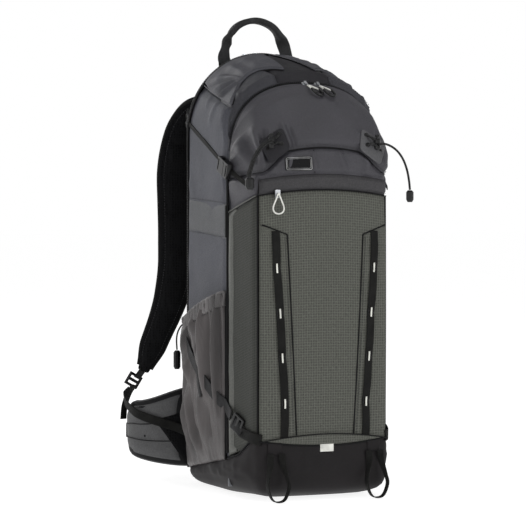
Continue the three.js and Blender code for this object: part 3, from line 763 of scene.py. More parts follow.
def metal(name, colour, roughness):
    """Plated or brushed metal with fine scratches and duller patches."""
    f = Finish(name, colour, roughness, specular=0.5, metallic=1.0)
    brushed = f.noise(900, 2, stretch=(1, 0.06, 1))
    rough = f.plus(roughness - 0.1, f.times(f.noise(60, 4), 0.25))
    return f.done(f.shades(brushed, 0.85, 1.08), rough, brushed, depth=0.03, strength=0.4)


def braid(name, colour, fleck=2.2):
    """Braided elastic cord: crossing strands with paler flecks."""
    f = Finish(name, colour, 0.75)
    strands = f.waves(0.16, diagonal=True)
    mixed = f.plus(f.times(strands, 0.3), f.noise(300, 2))
    return f.done(f.shades(mixed, 0.6, fleck), None, strands, depth=0.35, strength=0.9)


SLATE = woven("slate_cloth", (82, 83, 90), 0.66, uneven=0.06, specular=0.2)
# A darker copy of the slate cloth for the shoulder flaps: painted shade for their upward-facing, less
# lit faces.
SLATE_SHADED = woven("slate_cloth_painted_shade", (74, 74, 80), 0.6, uneven=0.08, specular=0.3)
SLATE_LOW = woven("slate_cloth_lower", (80, 81, 84), 0.6, specular=0.25)
CROWN = woven("crown_cloth", (52, 52, 57), 0.6, specular=0.3)
GREEN = ripstop("green_ripstop_cloth", (78, 79, 74), 0.8, line_share=1.65, specular=0.15)
# A darker copy of the green ripstop for the pocket's side faces: painted shade.
GREEN_SHADED = ripstop("green_ripstop_painted_shade", (58, 59, 56), 0.7, line_share=1.5, melange=0.5,
                     specular=0.2)
# A paler, smoother copy of the green cloth: painted highlight where light catches the rounded rear
# edge of each side.
GREEN_HIGHLIGHT = woven("green_cloth_painted_highlight", (104, 105, 101), 0.55, uneven=0.05, specular=0.25)
DOME = woven("dome_cloth", (62, 61, 66), 0.5, specular=0.35)
YOKE = woven("yoke_cloth", (34, 33, 37), 0.62, specular=0.25)
SMOOTH = woven("smooth_strip_cloth", (70, 69, 71), 0.6, pitch=0.06, uneven=0.05, specular=0.2)
PATCH = woven("anchor_patch_cloth", (84, 84, 86), 0.6)
BASE = coated("base_cloth", (27, 25, 26), 0.55, specular=0.14)
STRETCH = knit("stretch_cloth", (60, 56, 56), 0.36, specular=0.6)
HEM = knit("stretch_hem", (88, 86, 86), 0.5, specular=0.4)
BLACK_WEB = webbing("black_web", (22, 22, 21), specular=0.15)
GREY_WEB = webbing("grey_web", (40, 40, 41), specular=0.25)
MESH = air_mesh("black_air_mesh", (12, 12, 13), specular=0.1)
MESH_EDGE = air_mesh("grey_air_mesh", (34, 34, 35), specular=0.15)
BELT = woven("belt_cloth", (30, 30, 31), 0.7, specular=0.15)
BELT_SHELL = woven("belt_shell_cloth", (88, 88, 89), 0.65, specular=0.2)
LINING = ripstop("lining_cloth", (112, 114, 118), 0.7, line_share=1.2, melange=0.3)
ZIP_TAPE = webbing("zip_tape_cloth", (22, 22, 23), specular=0.2)
COIL = moulded("zip_coil", (26, 26, 28), 0.35)
PIPING = woven("piping_cloth", (20, 20, 21), 0.7, specular=0.15)
THREAD = braid("thread", (58, 58, 60), 1.2)
PLASTIC = moulded("buckle_nylon", (16, 16, 17), 0.3, specular=0.35, edge_wear_and_glint=1.3)
PALE = moulded("pale_cord", (212, 212, 206), 0.5, edge_wear_and_glint=1.05)
REFLECT = moulded("reflective_bar", (212, 212, 204), 0.4, edge_wear_and_glint=1.05)
BORDER = webbing("label_border_thread", (140, 140, 140))
CORD = braid("shock_cord_braid", (26, 26, 26))
SLIDER_METAL = metal("plated_zinc", (196, 198, 202), 0.3)
STAY_METAL = metal("brushed_aluminium", (190, 192, 195), 0.35)
SHEET_PLASTIC = moulded("frame_sheet_plastic", (24, 24, 26), 0.5)
LOCK_PLASTIC = moulded("lock_nylon", (14, 14, 15), 0.3, specular=0.35, edge_wear_and_glint=1.3)

# ---------------------------------------------------------------- camera and stage

CAMERA_PLACE = (-1312.0, -3212.0, 422.1)
CAMERA_TURN = 21.5        # degrees from +Y towards +X
CAMERA_PITCH = -1.3
LENS, SENSOR = 153.34, 36.0


def direction(turn, pitch):
    a, e = math.radians(turn), math.radians(pitch)
    return Vector((math.sin(a) * math.cos(e), math.cos(a) * math.cos(e), math.sin(e)))


def make_camera():
    data = bpy.data.cameras.new("camera")
    data.lens, data.sensor_width = LENS, SENSOR
    camera = bpy.data.objects.new("camera", data)
    camera.location = to_vectors([CAMERA_PLACE])[0]
    toward = direction(CAMERA_TURN, CAMERA_PITCH)
    camera.rotation_euler = toward.to_track_quat("-Z", "Y").to_euler()
    bpy.context.scene.collection.objects.link(camera)
    bpy.context.scene.camera = camera


def make_light(name, place, size, power):
    """A square soft light, turned to the middle of the pack."""
    data = bpy.data.lights.new(name, "AREA")
    data.size, data.energy = size, power
    light = bpy.data.objects.new(name, data)
    light.location = place
    toward = Vector((0, 0, 0.35)) - Vector(place)
    light.rotation_euler = toward.to_track_quat("-Z", "Y").to_euler()
    bpy.context.scene.collection.objects.link(light)


def make_stage():
    """A white floor and horizon under plain soft studio light, dimmer overhead."""
    mesh = bpy.data.meshes.new("floor")
    reach = 40.0
    corners = [(-reach, -reach, 0), (reach, -reach, 0), (reach, reach, 0), (-reach, reach, 0)]
    mesh.from_pydata(corners, [], [(0, 1, 2, 3)])
    floor = bpy.data.objects.new("floor", mesh)
    bpy.context.scene.collection.objects.link(floor)
    white = bpy.data.materials.new("studio_floor")
    white.use_nodes = True
    shader = white.node_tree.nodes["Principled BSDF"]
    shader.inputs["Base Color"].default_value = (0.45, 0.45, 0.45, 1)
    shader.inputs["Roughness"].default_value = 0.9
    shader.inputs["Specular IOR Level"].default_value = 0.0
    shader.inputs["Emission Color"].default_value = (1, 1, 1, 1)
    shader.inputs["Emission Strength"].default_value = 0.86
    mesh.materials.append(white)

    world = bpy.data.worlds.new("studio")
    bpy.context.scene.world = world
    world.use_nodes = True
    tree = world.node_tree
    height = tree.nodes.new("ShaderNodeSeparateXYZ")
    tree.links.new(tree.nodes.new("ShaderNodeTexCoord").outputs["Generated"], height.inputs[0])
    fade = tree.nodes.new("ShaderNodeMapRange")
    tree.links.new(height.outputs["Z"], fade.inputs["Value"])
    for socket, value in {"From Min": 0.13, "From Max": 0.3, "To Min": 1.0, "To Max": 0.27}.items():
        fade.inputs[socket].default_value = value
    tree.links.new(fade.outputs[0], tree.nodes["Background"].inputs["Strength"])
    tree.nodes["Background"].inputs["Color"].default_value = (1, 1, 1, 1)

    make_light("key", (2.0, -3.2, 2.0), 1.3, 36)
    make_light("fill", (-3.2, -1.6, 1.7), 1.6, 17)
    make_light("top", (0.2, -0.6, 3.0), 1.4, 16)
    make_light("rear", (-1.2, 3.0, 1.8), 1.6, 34)
    bpy.context.scene.view_settings.view_transform = "Standard"


make_camera()
make_stage()

# ---------------------------------------------------------------- seams on a surface


def welt(name, surface, u, v, lift, radius, finish, slot, **shape):
    """Piping or a rolled edge that lies on a surface along a path."""
    line, _ = lifted(surface, u, v, lift)
    return tube(name, line, radius, finish, slot, **shape)


def stitched(name, surface, u, v, lift, slot, **shape):
    """A row of stitches that lies on a surface along a path."""
    line, _ = lifted(surface, u, v, lift)
    return stitches(name, line, THREAD, slot, **shape)


# ---------------------------------------------------------------- free cords

# The routes of the free cords, from where each leaves its lock or hem to its end tab.
LEFT_CORD = [
    (-86, -138.4, 524), (-88, -141, 524.8), (-90.5, -143.2, 525), (-93.5, -145.2, 524.6),
    (-97, -146.8, 523.3), (-101, -148, 521), (-105, -148.8, 518), (-108.5, -149.2, 514.5),
    (-112, -149.2, 510), (-115, -148.9, 505), (-117.6, -148.2, 499.5), (-119.8, -147.2, 493.5),
    (-121.5, -145.8, 487), (-122.8, -144, 480.5), (-123.5, -142, 474)]
RIGHT_CORD = [
    (86, -138.4, 524), (88.4, -141.2, 524.6), (91.4, -143.6, 524.8), (95, -146, 524),
    (99, -147.9, 522.3), (103.4, -149.3, 519.8), (107.6, -150.3, 516.7), (111.6, -151, 513),
    (115.4, -151.5, 508.4), (119, -151.7, 503), (122.3, -151.5, 497), (125.2, -151, 490.3),
    (127.8, -150.2, 483.2), (130, -149.2, 475.2), (132, -148.1, 466), (133.5, -147, 456)]
POCKET_CORD = [
    (-124, 141, 246), (-124.6, 143, 245.6), (-125.4, 145.1, 244.7), (-126.5, 147.1, 243.3),
    (-127.8, 149, 241.4), (-129.1, 150.6, 239), (-130.4, 151.9, 236.2), (-131.6, 152.9, 233),
    (-132.6, 153.6, 229.6), (-133.3, 154, 226), (-133.8, 154.1, 222.2), (-134, 154.1, 218.2),
    (-134, 153.9, 213.8), (-133.8, 153.5, 208.8), (-133.6, 153, 203)]


def free_cord(name, route, diameter, node):
    line = Line(route)
    piece = tube(name, line, diameter / 2, CORD, "shock_cord", steps=90, sides=14)
    if node:
        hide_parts(node)
    path = [tuple(point) for point in to_vectors(line(np.linspace(0, 1, 60)))]


def beside(route, gap):
    """The same route for a second cord that lies against the first."""
    points = np.array(route, float)
    along = np.gradient(points, axis=0)
    side = np.cross(along, [0.0, -1.0, 0.0])
    return points + unit(side) * gap


def free_cords():
    free_cord("left_keeper_cord", LEFT_CORD, 3.4, "tool_cord_left")
    free_cord("right_keeper_cord", RIGHT_CORD, 3.4, "tool_cord_right")
    free_cord("pocket_drawcord", POCKET_CORD, 2.6, "pocket_cord")
    # The left keeper is a doubled cord, so a second strand lies beside the first.
    free_cord("left_keeper_cord_return", beside(LEFT_CORD, 3.6), 3.4, None)


free_cords()

# ---------------------------------------------------------------- cloth of the main compartment


def side_wall(side):
    """(y, s) on a side of the compartment: s is the distance up from the lower seam."""
    return lambda y, s: body(side * (SPAN - s), y)


def flap_seam(y):
    """Distance from the middle of the top down to the seam across the gusset."""
    return np.interp(y, [-60, -41, -24, 70, 138], [143, 143, 141, 125, 110])


# Free front edge of the shoulder flap: distance from the middle of the top, and y.
FLAP_EDGE = [(25, -35), (40, -15), (57, -2), (76, -3), (95, -12), (118, -30), (141, -41)]
FLAP_INNER = 6.0


def flap_front(g):
    distance, y = zip(*FLAP_EDGE)
    near = -35 + (25 - np.abs(g)) * 9
    return np.where(np.abs(g) < 25, near, np.interp(np.abs(g), distance, y))


def flap_rear(g):
    return np.interp(np.abs(g), [0, 110, 125, 141, 143], [RIM_Y - 19, RIM_Y - 19, 70, -24, -40])


GUSSET_FOLDS = [(-26, 612, -33, 520, 4, 3.6), (-14, 604, -26, 540, 3, -2.4),
                (20, 606, 34, 560, 7, 2.4), (70, 612, 60, 585, 6, 2.0),
                (-38, 420, -10, 380, 8, 2.0), (128, 470, 96, 452, 7, 2.0),
                (-30, 480, -36, 446, 5, 2.2)]
FLAP_PLEATS = [(96, -10, 138, 22, 4.5, 5.2), (98, -2, 134, 40, 3.0, -3.4),
               (94, -4, 128, 62, 4.5, 5.0), (92, 4, 116, 84, 3.2, -3.2),
               (88, 0, 104, 96, 5.5, 4.6), (78, 2, 72, 90, 7, 3.8),
               (84, -2, 88, 80, 3.0, -2.6), (50, 6, 46, 104, 9, 3.0),
               (30, 10, 28, 100, 8, 2.4)]


def side_gusset(name, wall, seed):
    """The cloth of a side wall, from the base to under the shoulder flap."""
    def folds(points, y, s):
        return 1.7 * crumple(y, s, 120, seed) * ramp(s, 0, 60) + creases(y, s, GUSSET_FOLDS)

    cloth_panel(f"side_gusset_{name}", wall, (DIVIDER_Y - 3, RIM_Y), boot_edge,
                lambda y: SPAN - flap_seam(y), (44, 130), SLATE, puff=3.0,
                roll=16, extra=folds)


def shoulder_flap(name, flap, seed):
    """The pleated flap over a shoulder of the pack, which stands for the CAD side panel."""
    def pleats(points, g, y):
        return creases(g, y, FLAP_PLEATS) + 1.6 * crumple(g, y, 46, seed + 1)

    piece = cloth_panel(f"shoulder_flap_{name}", flap, (142, FLAP_INNER), flap_front, flap_rear,
                        (90, 84), SLATE_SHADED, puff=1.4, roll=5, rise=4.2,
                        sink=0.2, extra=pleats, thick=1.4)
    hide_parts(f"side_panel_{name}")


def gusset_seams(name, wall, flap):
    """Stitches and welts round the flap, and a black welt where the wall meets the divider, partly its
    seam and partly painted shadow in the gap there.
    """
    seam = np.linspace(-40, RIM_Y - 2, 50)
    stitched(f"flap_seam_stitches_{name}", wall, seam, SPAN - flap_seam(seam) - 3.2, 2.0,
             "slate_fabric")
    edge = np.linspace(140, 27, 60)
    stitched(f"flap_hem_stitches_{name}", flap, edge, flap_front(edge) + 3.6, 6.6,
             "slate_fabric")
    welt(f"flap_edge_welt_{name}", flap, edge, flap_front(edge) - 0.6, 1.6, 1.7, PIPING,
         "black_fabric", steps=120, sides=8)
    rows = np.linspace(-40, RIM_Y - 10, 60)
    welt(f"flap_seam_welt_{name}", wall, rows, SPAN - flap_seam(rows) + 0.4, 3.4, 1.1,
         SLATE_SHADED, "slate_fabric", steps=120, sides=8)
    # Black welt at the divider: partly seam piping, partly painted shadow along the gap.
    welt(f"divider_welt_and_shadow_{name}", wall, DIVIDER_Y - 3.4, np.linspace(58, 500, 90), 0.4, 2.3,
         PIPING, "black_fabric", steps=160, sides=10)


def side_gussets():
    for name, side in SIDES:
        wall = side_wall(side)
        seed = 3 if side < 0 else 8

        def flap(g, y, side=side):
            return body(side * np.abs(g), y)

        side_gusset(name, wall, seed)
        shoulder_flap(name, flap, seed)
        gusset_seams(name, wall, flap)


def crown():
    """Black yoke between the shoulder flaps, and the band from it down to the dome's zip."""
    yoke = cloth_panel("top_yoke", body, (-46, 46), DIVIDER_Y - 3, RIM_Y, (34, 60), YOKE,
                       puff=1.0, roll=8, rise=0.8,
                       extra=lambda p, g, y: 0.8 * crumple(g, y, 60, 4))
    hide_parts("top_panel")
    run = SPAN - ZIP_FOOT

    def band(g, v):
        """From under the flap's free edge (v = -1) to the divider (0) and on to the zip (1)."""
        back = body(g, DIVIDER_Y - 3 + 56 * np.maximum(-v, 0))
        zip_edge = dome_zip(0.5 + 0.5 * g / run)
        return lerp(back, zip_edge, np.clip(v, 0, 1)[..., None])

    low = lambda g: -ramp(np.abs(g), 150, 138)
    cloth_panel("crown_band_middle", band, (-46, 46), low, 1.0, (44, 30), YOKE,
                puff=1.4, roll=7, rise=0.4, extra=lambda p, g, v: 0.9 * crumple(g, 40 * v, 30, 6))
    for name, side in SIDES:
        cloth_panel(f"crown_band_{name}", band, (side * 45, side * run), low, 1.0,
                    (110, 40), CROWN, puff=1.8, roll=7, rise=0.6,
                    extra=lambda p, g, v: 1.5 * crumple(g, 40 * v, 34, 6)
                    + creases(np.abs(g), 60 * v, [(150, -50, 196, 50, 4, 3.0),
                                                  (176, -10, 214, 52, 3, 2.6),
                                                  (110, -40, 130, 50, 5, 2.2)]))


def elastic_bands():
    """A flat elastic sleeve low across each gusset, with a black strip at its front end as painted
    shadow in its slot.
    """
    for name, side in SIDES:
        wall = side_wall(side)
        cloth_panel(f"side_sleeve_{name}", wall, (-42, 126),
                    lambda y: np.interp(y, [-45, 124], [381, 390]),
                    lambda y: np.interp(y, [-45, 124], [434, 443]), (40, 14), SLATE_LOW,
                    puff=1.6, roll=6, rise=2.6, sink=0.4, thick=1.4,
                    extra=lambda p, y, s: 0.5 * crumple(y, s, 40, 2))
        # A black strip standing in as painted shadow in the sleeve's open front end.
        slot_line, out = lifted(wall, np.full(20, -40.5), np.linspace(384, 432, 20), 2.4)
        strip(f"sleeve_slot_shadow_{name}", slot_line, out, 3.4, 3.0, BLACK_WEB)
        for start, tag in ((384, "low"), (436, "high")):
            ys = np.linspace(-38, 122, 40)
            stitched(f"sleeve_stitches_{tag}_{name}", wall, ys, start + 9 * (ys + 45) / 169, 5.2,
                     "slate_fabric")


def lining():
    """Pale lining on the inside of the side walls and the top arch."""
    inner = lambda g, y: body(g, y) * [0.957, 1, 1] - [0, 0, 4.5]
    gs = np.concatenate([np.linspace(-724, -190, 40), np.linspace(-180, 180, 60),
                         np.linspace(190, 724, 40)])
    ys = np.linspace(DIVIDER_Y + 1, RIM_Y - 2, 20)
    points = inner(gs[None, :], ys[:, None])
    points[..., 2] -= 2.2 * np.clip(1 - np.abs(gs[None, :]) / ARCH_RUN, 0, 1)
    piece = grid("compartment_lining", points, LINING)
    wall = piece.modifiers.new("thickness", "SOLIDIFY")
    wall.thickness, wall.offset = 1.2 * MM, 0


def rear_edge():
    """The rear zip: its tape on the rim, the coil along it, and piping outside."""
    inset = 6.0
    half, rise = HALF - inset, ARCH_RISE - inset
    turn = np.linspace(0, math.pi, 90)
    low = np.linspace(40, ARCH_Z - 8, 60)
    arch = np.stack([-half * np.cos(turn), 0 * turn, ARCH_Z + rise * np.sin(turn)], -1)
    left = np.stack([0 * low - half, 0 * low, low], -1)
    right = np.stack([0 * low + half, 0 * low, low], -1)[::-1]
    path = np.vstack([left, arch, right])
    out = np.vstack([np.tile([-1.0, 0, 0], (60, 1)),
                     np.stack([-np.cos(turn), 0 * turn, np.sin(turn)], -1),
                     np.tile([1.0, 0, 0], (60, 1))])
    seat = path + [0, RIM_Y + 3.2, 0]
    tape = strip("rear_zip_tape", seat + out * 1.0, out, 5.4, 7.0, ZIP_TAPE)
    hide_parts("rear_zipper")
    teeth("rear_zip_coil", seat + out * 4.4, out, 2.0, 4.4, 1.5, COIL)
    for name, shift, lift in (("inner", -3.4, 5.2), ("outer", 3.0, 3.6)):
        tube(f"rear_piping_{name}", seat + out * lift + [0, shift, 0], 1.7, PIPING, "black_fabric",
             steps=220, sides=8)
    g = np.linspace(-236, 236, 200)
    fade = ramp(np.abs(g), 130, 230)
    centre, away = lifted(body, g, 124.5 + 7 * fade, 4.6)
    strip("rear_zip_band", centre, away, 10.5 - 6.5 * fade, 1.8, ZIP_TAPE)
    teeth("rear_zip_band_coil", centre + away * 0.8, away, 2.0, 4.0, 1.4, COIL)
    for tag, shift in (("front", -6.2), ("rear", 5.6)):
        welt(f"rear_zip_lip_{tag}", body, g, 124.5 + 7 * fade + shift * (1 - 0.55 * fade), 4.6,
             1.5, PIPING, "black_fabric", steps=240, sides=8)
    xs = np.linspace(-14, -8, 12)
    z = ARCH_Z + np.sqrt(125.5**2 - xs**2)
    centre = np.stack([xs, 0 * xs + RIM_Y + 3.2, z], -1)
    strip("rear_zip_garage", centre, np.tile([0.0, 0, 1], (12, 1)), 9, 1.2, YOKE)


# ---------------------------------------------------------------- cloth of the front pockets


def green_pocket():
    """The grid-cloth front pocket: face, raised wings, sides, a painted highlight along each side's
    rear edge, seams and piping.
    """
    wing_folds = lambda p, z, x: 0.5 * crumple(x, z, 70, 12)
    whole = cloth_panel(
        "front_ripstop", bulk, (-CORNER, CORNER), BASE_TOP, green_top,
        (90, 120), GREEN, puff=1.8, roll=10, sink=1.0,
        extra=lambda pts, p, w: 0.9 * crumple(p, w, 110, 21)
        + creases(plan_x(p), w, [(-96, 446, -60, 398, 6, -1.6), (-84, 440, -52, 404, 5, 1.2),
                                 (96, 446, 64, 404, 6, -1.2), (-40, 96, 40, 92, 5, 1.0)]))
    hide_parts("front_pocket")
    for name, side in SIDES:
        face = lambda z, x, side=side: front(side * x, z)
        cloth_panel(f"front_wing_{name}", face, (BASE_TOP + 6, V_OUT - 0.4), v_line,
                    SEAM_X - 1.6, (120, 22), GREEN, puff=1.0, roll=5, rise=1.8,
                    sink=0.3, extra=wing_folds, thick=1.4)
        cloth_panel(
            f"green_side_{name}", bulk, (side * CORNER, side * FRONT_RUN),
            lambda p: lerp(80, 52, sideways(p)), green_top, (26, 110), GREEN_SHADED,
            puff=3.0, roll=12, sink=0.8,
            extra=lambda pts, p, w: 0.8 * crumple(p, w, 80, 31))
        zs = np.linspace(BASE_TOP + 4, float(green_top(CORNER)) - 1, 80)
        welt(f"corner_piping_{name}", bulk, side * CORNER, zs, 0.6, 1.5, PIPING, "black_fabric",
             steps=160, sides=8)
        zs = np.linspace(V_LOW, V_HIGH - 4, 60)
        stitched(f"wing_stitches_{name}", face, zs, v_line(zs) + 3.4, 3.2, "green_ripstop")
        zs = np.linspace(V_HIGH, V_OUT - 1, 20)
        welt(f"wing_top_welt_{name}", face, zs, v_line(zs) - 0.6, 2.8, 1.0, PIPING,
             "green_ripstop", steps=40, sides=8)
        zs = np.linspace(V_LOW - 8, V_HIGH, 80)
        welt(f"wing_seam_{name}", face, zs, v_line(zs) - 0.9, 2.6, 1.1, PIPING, "green_ripstop",
             steps=120, sides=8)
        # A band of painted highlight along the rear edge of the side.
        cloth_panel(
            f"green_edge_{name}", bulk, (side * (FRONT_RUN - 26), side * (FRONT_RUN + 1)),
            lambda p: lerp(80, 52, sideways(p)) + 1, lambda p: green_top(p) - 1, (16, 90),
            GREEN_HIGHLIGHT, puff=3.6, roll=12, rise=1.6, sink=0.6, thick=1.2,
            extra=lambda pts, p, w: 0.5 * crumple(p, w, 60, 33))
        # The welt along the side's top takes the painted-highlight cloth too.
        p = side * np.linspace(CORNER + 2, FRONT_RUN - 1, 30)
        welt(f"green_side_brow_{name}", bulk, p, green_top(p) + 0.4, 1.8, 0.9, GREEN_HIGHLIGHT,
             "green_ripstop", steps=50, sides=8)


def black_pocket():
    """Smooth strip, gathered side folds and the domed pocket above the green one."""
    cloth_panel("smooth_strip", bulk, (-CORNER + 1, CORNER - 1), green_top, strip_top, (90, 12),
                SMOOTH, puff=1.8, roll=6, sink=0.4,
                extra=lambda p, a, w: 0.3 * crumple(a, w, 60, 41))

    def gathers(points, p, w):
        x = plan_x(p)
        strength = ramp(np.abs(x), 40, 100)
        waves = np.sin(x / 7.5 + 0.06 * w + 2.4 * noise(x / 30, w / 30, 3))
        folds = creases(x, w, [(-20, 514, -14, 478, 4, 2.4), (-52, 512, -60, 476, 6, 2.0),
                               (-88, 506, -84, 474, 6, 2.6), (22, 514, 34, 480, 5, 2.6),
                               (70, 506, 64, 474, 6, 2.2), (92, 500, 96, 472, 5, 2.2)])
        return 1.7 * waves * strength + 1.5 * folds + 1.3 * crumple(x, w, 34, 43)

    low = lambda p: np.where(np.abs(p) < CORNER, strip_top(p), green_top(p))
    cloth_panel("gathered_panel", bulk, (-FRONT_RUN, FRONT_RUN), low, dome_seam, (150, 40), DOME,
                puff=2.2, roll=8, sink=0.8, extra=gathers)

    def dome_folds(points, p, w):
        x = plan_x(p)
        feet = creases(x, w, [(-114, 576, -108, 496, 3.0, 6.5), (-109.5, 566, -103, 490, 2.6, -6),
                              (-104, 572, -97, 498, 3.2, 5.6), (-96, 556, -89, 494, 4, -5.0),
                              (-84, 556, -78, 500, 6, 3.4), (108, 560, 103, 500, 4, 3.6),
                              (-62, 560, -52, 512, 5, 4.0), (-52, 552, -43, 512, 4, -3.4),
                              (96, 566, 90, 504, 5, -2.6), (60, 548, 54, 520, 7, 3.0),
                              (-30, 600, 34, 590, 14, 2.0), (-80, 590, -20, 606, 9, 1.8)])
        return feet + 2.6 * crumple(x, w, 90, 51)

    dome = cloth_panel("dome_panel", bulk, (-FRONT_RUN, FRONT_RUN), dome_seam, DOME_HIGH,
                       (300, 100), DOME, puff=3.0, roll=14, sink=0.8,
                       extra=dome_folds)
    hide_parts("top_pocket")
    p = np.linspace(-FRONT_RUN + 2, FRONT_RUN - 2, 120)
    welt("dome_seam_welt", bulk, p, dome_seam(p), 0.6,
         lambda t: 0.45 + 0.7 * float(ramp(abs(2 * t - 1), 0.34, 0.22)), PIPING, "black_fabric",
         steps=240, sides=8)
    stitched("dome_stitches", bulk, p, dome_seam(p) + 4, 2.2, "black_fabric")
    p = np.linspace(-CORNER + 2, CORNER - 2, 100)
    for tag, edge, shift in (("low", green_top, 2.6), ("high", strip_top, -2.6)):
        stitched(f"strip_stitches_{tag}", bulk, p, edge(p) + shift, 1.9, "black_fabric")
    # A dark welt under the strip's lower edge: partly the hidden zip's coil, partly painted shadow
    # under the edge.
    welt("front_zip_edge_and_shadow", bulk, p, green_top(p) - 0.6, 0.9, 0.8, PIPING, "zip_tape",
         steps=200, sides=8)


def dome_zipper():
    """Arched zip over the dome: tape, coil and the lip of cloth that half covers it."""
    share = np.linspace(0.03, 0.97, 160)
    line = dome_zip(share)
    out = line - np.array([0, 40, 470.0])
    out = unit(out)
    strip("dome_zip_tape", line + out * 0.8, out, 9, 1.4, ZIP_TAPE)
    teeth("dome_zip_coil", line + out * 1.8, out, 1.7, 4.6, 1.5, COIL)
    for tag, shift, finish in (("front", (0, -5.6, -3.0), DOME), ("rear", (0, 5.0, 1.6), CROWN)):
        tube(f"dome_zip_lip_{tag}", line + out * 1.6 + np.array(shift), 2.0, finish,
             "black_fabric", steps=160, sides=8, squash=0.7)


side_gussets()
crown()
elastic_bands()
lining()
rear_edge()
green_pocket()
black_pocket()
dome_zipper()

# ---------------------------------------------------------------- base, lip and stretch pockets


def boot_plan():
    """The closed outline of the base: round the front, then along the sides to the rear."""
    corner = 24.0
    turn = np.linspace(0, math.pi / 2, 7)
    rear = [(HALF - corner + corner * math.cos(a), RIM_Y - corner + corner * math.sin(a), 0)
            for a in turn]
    sides = [(118.3, -34, 0), (118.7, -26, 0), (119, -17, 0), (119.4, -6, 0), (119.8, 8, 0),
             (HALF, 30, 0), (HALF, 76, 0)]
    right = sides + rear + [(60, RIM_Y, 0)]
    left = [(-x, y, z) for x, y, z in reversed(right)]
    points = list(FRONT(np.linspace(0, 1, 80))) + right + [(0, RIM_Y, 0)] + left
    return Line(points + [points[0]])


def base_boot():
    """The coated base: a rounded foot, a wall with dents, its floors and its top seam."""
    plan = boot_plan()
    columns = 260
    ring = plan(np.linspace(0, 1, columns, endpoint=False))
    along = np.roll(ring, -1, 0) - np.roll(ring, 1, 0)
    normal = np.stack([along[:, 1], -along[:, 0], 0 * along[:, 0]], -1)
    normal = unit(normal)
    normal *= np.sign(np.sum(normal * (ring - [0, 20, 0]), 1, keepdims=True))
    y = ring[:, 1]
    top = np.where(y < -60, lerp(55, 84, ramp(y, -60, -118)), boot_edge(y))
    top = np.where(y > 124, lerp(21, 7, ramp(y, 124, 136)), top)
    ground = -STAND
    room = np.minimum(1, (top - ground) / 48)
    spread = 1 + 0.8 * ramp(y, 40, -90)
    middle = np.array([0, 5.0, 0])

    def foot(z, inset):
        """A ring of the rounded foot, drawn in towards the middle by an inset in mm."""
        drawn = middle + (ring - middle) * (1 - inset * spread / 122)[:, None]
        return drawn + np.stack([0 * y, 0 * y, ground + (z - ground) * room], -1)

    levels = [(ground, 60), (ground, 34), (-8, 27), (-5, 18), (-1, 10.5), (4, 5), (10, 1.6), (17, 0)]
    rows = [foot(z, inset) for z, inset in levels]
    start = ground + 26 * room
    for share in np.linspace(0.1, 1, 16):
        z = lerp(start, top, share)
        swell = 2.2 * np.sin(math.pi * np.minimum(1, share * 1.05)) ** 0.6
        dents = 2.4 * crumple(ring[:, 0] + 1.2 * y, z * 1.6, 46, 61)
        out = (0.4 + swell + dents * math.sin(math.pi * share) ** 0.5)[:, None]
        rows.append(ring + normal * out + np.stack([0 * z, 0 * z, z], -1))
    boot = grid("base_boot", np.stack(rows), BASE, wrap=True)
    floor_rows = [rows[0]] + [rows[0] * [share, share, 1] + [0, 0, 1] for share in (0.9, 0.02)]
    grid("base_floor", np.stack(floor_rows), BASE, wrap=True)
    inside = middle + (ring - middle) * 0.93 + [0, 0, 7]
    inner_rows = [middle + (inside - middle) * [share, share, 1] for share in (1, 0.7, 0.4, 0.02)]
    grid("compartment_floor", np.stack(inner_rows), LINING, wrap=True)
    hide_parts("base_panel")
    wall = boot.modifiers.new("thickness", "SOLIDIFY")
    wall.thickness, wall.offset = 1.6 * MM, -1.0
    seam = rows[-1] + normal * 0.8
    shown = np.roll(seam, columns // 4, axis=0)
    tube("boot_seam_welt", np.vstack([shown, shown[:1]]), 1.3, PIPING, "black_fabric", steps=300,
         sides=8)
    line = rows[-2] + normal * 0.6
    front_part = line[y < 120]
    order = np.argsort(np.arctan2(front_part[:, 0], -front_part[:, 1] + 20))
    stitches("boot_stitches", front_part[order], THREAD, "base_fabric")


def front_lip():
    """The lens-shaped lip over the foot of the green pocket, and the pale tab under it."""
    bow = lambda p: 1 - np.clip(np.abs(plan_x(p)) / SEAM_X, 0, 1) ** 2
    cloth_panel("front_lip", bulk, (-CORNER + 1, CORNER - 1), lambda p: 82.5 - 8.5 * bow(p),
                lambda p: 83.5 + 10 * bow(p), (90, 12), GREEN, puff=2.6, roll=4,
                rise=3.4, sink=1.6, extra=lambda q, p, w: 0.4 * crumple(p, w, 50, 71))
    p = np.linspace(-CORNER + 4, CORNER - 4, 100)
    welt("lip_seam", bulk, p, 81 + 10 * bow(p), 5.4, 0.9, PIPING, "black_fabric", steps=160,
         sides=8)
    welt("lip_shadow_welt", bulk, p, 82 - 8.5 * bow(p), 2.2, 1.5, PIPING, "black_fabric",
         steps=160, sides=8)
    tape_on("front_tab", bulk, [2, 2, 2], [76, 70, 64.5], 22, 1.3, PALE, lift=3.6,
            steps=10)


POCKET_FRONT, POCKET_REAR, POCKET_BULGE = -36.0, 132.0, 15.0


def mouth(y):
    return np.interp(y, [POCKET_FRONT, POCKET_REAR], [302, 252])


def pocket_face(side):
    """(y, h) on a stretch pocket: h is the share of the way up to the mouth, in percent."""
    def surface(y, h):
        y, h = np.broadcast_arrays(np.asarray(y, float), np.asarray(h, float))
        u = np.clip((y - POCKET_FRONT) / (POCKET_REAR - POCKET_FRONT), 0, 1)
        share = np.clip(h / 100, 0, 1)
        full = np.sin(math.pi * u) ** 0.55 * np.minimum(1, share * 3.2) ** 0.5
        z = lerp(boot_edge(y) - 3, mouth(y), h / 100)
        return np.stack([side * (HALF + 1.2 + POCKET_BULGE * full), y, z], -1)
    return surface


